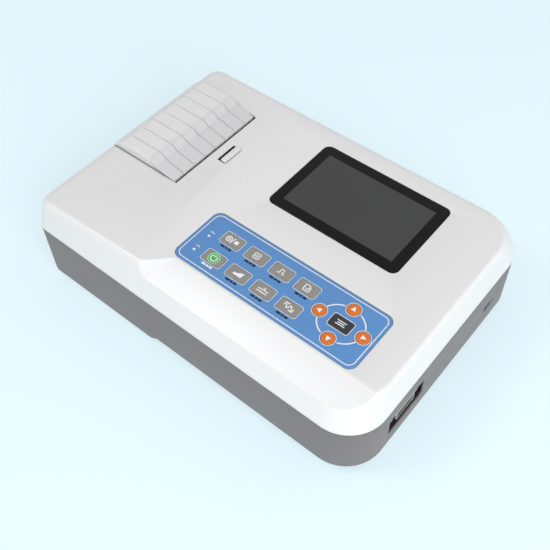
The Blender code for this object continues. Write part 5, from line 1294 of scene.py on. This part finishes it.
class ECG_OT_printer(bpy.types.Operator):
    """Paper roll with wound ends, platen roller"""

    bl_idname = "ecg.printer"
    bl_label = "Paper and platen"

    def execute(self, context):
        low, high = node_box("paper_roll")
        centre = (low + high) / 2
        outer = (high - low)[0] / 2
        inner = (node_box("paper_spindle")[1] - node_box("paper_spindle")[0])[0] / 2 + 0.3 * MM
        radius = np.linspace(inner, outer - 0.3 * MM, 28)
        wind = 0.12 * MM * (np.arange(28) % 2)
        front = np.column_stack([radius, low[1] + wind])
        back = np.column_stack([radius[::-1], high[1] - wind[::-1]])
        rim = [(outer, low[1] + 0.3 * MM), (outer, high[1] - 0.3 * MM)]
        profile = np.concatenate([front, rim, back])
        angle = np.linspace(0, 2 * np.pi, 72, endpoint=False)
        x = centre[0] + profile[:, 0, None] * np.cos(angle)
        z = centre[2] + profile[:, 0, None] * np.sin(angle)
        y = np.broadcast_to(profile[:, 1, None], x.shape)
        roll = loft(np.stack([x, y, z], axis=-1), wrap=True)
        put("paper_roll_wound", roll, paper(), "paper", ("paper_roll",), 40)
        low, high = ROLLER_LOW, ROLLER_HIGH
        centre = (low + high) / 2
        radius = (high - low)[0] / 2
        bore = (node_box("platen_shaft")[1] - node_box("platen_shaft")[0])[0] / 2 + 0.1 * MM
        profile = [(bore, low[1]), (radius - 0.5 * MM, low[1]), (radius, low[1] + 0.5 * MM),
                   (radius, high[1] - 0.5 * MM), (radius - 0.5 * MM, high[1]), (bore, high[1])]
        put(
            "platen_rubber", revolve(profile, (centre[0], 0, centre[2]), "y", 56), rubber(),
            "platen", ("platen_roller",),
        )
        return {"FINISHED"}


class ECG_OT_feet(bpy.types.Operator):
    """Four rubber feet with a rounded rim and a shallow ring in the sole"""

    bl_idname = "ecg.feet"
    bl_label = "Feet"

    def execute(self, context):
        for name in ("foot_front_left", "foot_front_right", "foot_back_left", "foot_back_right"):
            low, high = node_box(name)
            centre = (low + high) / 2
            radius = (high - low)[0] / 2
            profile = [(AXIS_HOLE, high[2]), (radius, high[2]), (radius, low[2] + 0.6 * MM),
                       (radius - 0.2 * MM, low[2] + 0.2 * MM), (radius - 0.6 * MM, low[2]),
                       (radius * 0.6, low[2]), (radius * 0.55, low[2] + 0.4 * MM),
                       (AXIS_HOLE, low[2] + 0.4 * MM)]
            part = revolve(profile, (centre[0], centre[1], 0))
            put(f"pad_{name}", part, rubber(), nodes=(name,))
        return {"FINISHED"}


class ECG_OT_frame_finishes(bpy.types.Operator):
    """Gives every CAD node that is still shown its finish"""

    bl_idname = "ecg.frame_finishes"
    bl_label = "Finishes of the inner parts"

    def execute(self, context):
        ceramic = surface("Ceramic glazed substrate", linear("#DAD7CB"), 0.25, 1.6, variation=0.04, coat=0.3)
        sleeve = surface("PVC sleeve blue", linear("#27408B"), 0.35, 1.54, grain=3 * MM, relief=0.1 * MM)
        by_slot = {
            "steel": steel(), "aluminium": aluminium(), "rubber": rubber(), "acetal": acetal(),
            "paper": paper(), "board_green": board(), "black_pbt": black_plastic(),
            "grey_abs": abs_grey(), "white_abs": abs_white(), "ceramic": ceramic,
            "battery_blue": sleeve,
            "panel_grey": surface("Display stack grey", linear("#55585A"), 0.25, 1.5),
            "black_gloss": surface("PBT polished black", linear("#1B1B1C"), 0.2, 1.55),
        }
        slots = {row["node"]: row["material_slot"] for row in frame["record"]["subparts"]}
        bar = surface("Acetal moulded black", linear("#1C1C1C"), 0.38, 1.48, variation=0.1)
        for name, obj in frame["nodes"].items():
            if obj.hide_render:
                continue
            obj.data.materials.clear()
            obj.data.materials.append(bar if name == "latch_bar" else by_slot[slots[name]])
        return {"FINISHED"}


WORLD_LIGHT = 0.5
LAMPS = (  # name, place in metres, side in metres, power in watts
    ("key", (1.2, -0.65, 0.95), 1.0, 14.0),
    ("front_rim", (-0.68, -0.72, 1.35), 0.5, 4.5),
    ("right_rim", (0.75, 0.8, 1.25), 0.9, 1.5),
)
FLOOR_REACH = 30.0
CAMERA_PLACE = (0.289, -0.33995, 0.5823)
CAMERA_RIGHT = (0.7761268, 0.63040953, -0.01452601)
CAMERA_DOWN = (0.48092984, -0.60668023, -0.63296571)
CAMERA_AHEAD = (-0.40784025, 0.48427566, -0.77404355)
LENS_MM, SENSOR_MM = 53.21, 36
LENS_SHIFT = (-0.0129, -0.0437)


class ECG_OT_stage(bpy.types.Operator):
    """Pale floor, soft studio lights and the camera"""

    bl_idname = "ecg.stage"
    bl_label = "Stage"

    def execute(self, context):
        scene = context.scene
        reach = FLOOR_REACH
        corners = [(-reach, -reach, 0), (reach, -reach, 0), (reach, reach, 0), (-reach, reach, 0)]
        floor = bpy.data.objects.new("floor", mesh_from("floor", (corners, [[0, 1, 2, 3]])))
        scene.collection.objects.link(floor)
        material, tree = shader_tree("Paper backdrop pale blue")
        shader = add(tree, "BsdfPrincipled", {"Base Color": (*linear("#A9B8BC"), 1), "Roughness": 0.9})
        shader.inputs["Emission Color"].default_value = (*linear("#E4F6FD"), 1)
        shader.inputs["Emission Strength"].default_value = 0.57
        add(tree, "OutputMaterial", {"Surface": shader.outputs[0]})
        floor.data.materials.append(material)
        world = bpy.data.worlds.new("studio")
        scene.world = world
        world.use_nodes = True
        world.node_tree.nodes["Background"].inputs[0].default_value = (0.98, 0.99, 1.0, 1)
        world.node_tree.nodes["Background"].inputs[1].default_value = WORLD_LIGHT
        for name, where, size, power in LAMPS:
            light = bpy.data.lights.new(name, "AREA")
            light.size = size
            light.energy = power
            lamp = bpy.data.objects.new(name, light)
            scene.collection.objects.link(lamp)
            lamp.location = where
            lamp.rotation_euler = (-lamp.location).to_track_quat("-Z", "Y").to_euler()
        data = bpy.data.cameras.new("camera")
        data.lens, data.sensor_width = LENS_MM, SENSOR_MM
        data.shift_x, data.shift_y = LENS_SHIFT
        camera = bpy.data.objects.new("camera", data)
        scene.collection.objects.link(camera)
        axes = zip(CAMERA_RIGHT, CAMERA_DOWN, CAMERA_AHEAD)
        turn = Matrix([[right, -down, -ahead] for right, down, ahead in axes])
        camera.matrix_world = Matrix.Translation(CAMERA_PLACE) @ turn.to_4x4()
        scene.camera = camera
        scene.view_settings.view_transform = "Standard"
        return {"FINISHED"}


PIECES = (
    ECG_OT_upper_shell, ECG_OT_lower_shell, ECG_OT_paper_door, ECG_OT_display, ECG_OT_keypad,
    ECG_OT_keys, ECG_OT_latch, ECG_OT_lead_socket, ECG_OT_usb_port, ECG_OT_power_inlet,
    ECG_OT_printer, ECG_OT_feet, ECG_OT_frame_finishes, ECG_OT_stage,
)


class ECG_PT_pieces(bpy.types.Panel):
    """Lists the sizes, the colours and a button for each piece"""

    bl_idname = "ECG_PT_pieces"
    bl_label = "ECG recorder"
    bl_space_type = "VIEW_3D"
    bl_region_type = "UI"
    bl_category = "ECG recorder"

    def draw(self, context):
        for group in (context.scene.ecg_case, context.scene.ecg_panel, context.scene.ecg_colours):
            section = self.layout.box()
            for name in group.__annotations__:
                section.prop(group, name)
        for piece in PIECES:
            self.layout.operator(piece.bl_idname)


GROUPS = {"ecg_case": CaseSizes, "ecg_panel": PanelSizes, "ecg_colours": Colours}


def register():
    for cls in (*GROUPS.values(), *PIECES, ECG_PT_pieces):
        bpy.utils.register_class(cls)
    for name, group in GROUPS.items():
        setattr(bpy.types.Scene, name, bpy.props.PointerProperty(type=group))


def unregister():
    for name in GROUPS:
        delattr(bpy.types.Scene, name)
    for cls in reversed((*GROUPS.values(), *PIECES, ECG_PT_pieces)):
        bpy.utils.unregister_class(cls)


def main():
    register()
    for piece in PIECES:
        group, name = piece.bl_idname.split(".")
        getattr(getattr(bpy.ops, group), name)()


if __name__ == "__main__":
    main()
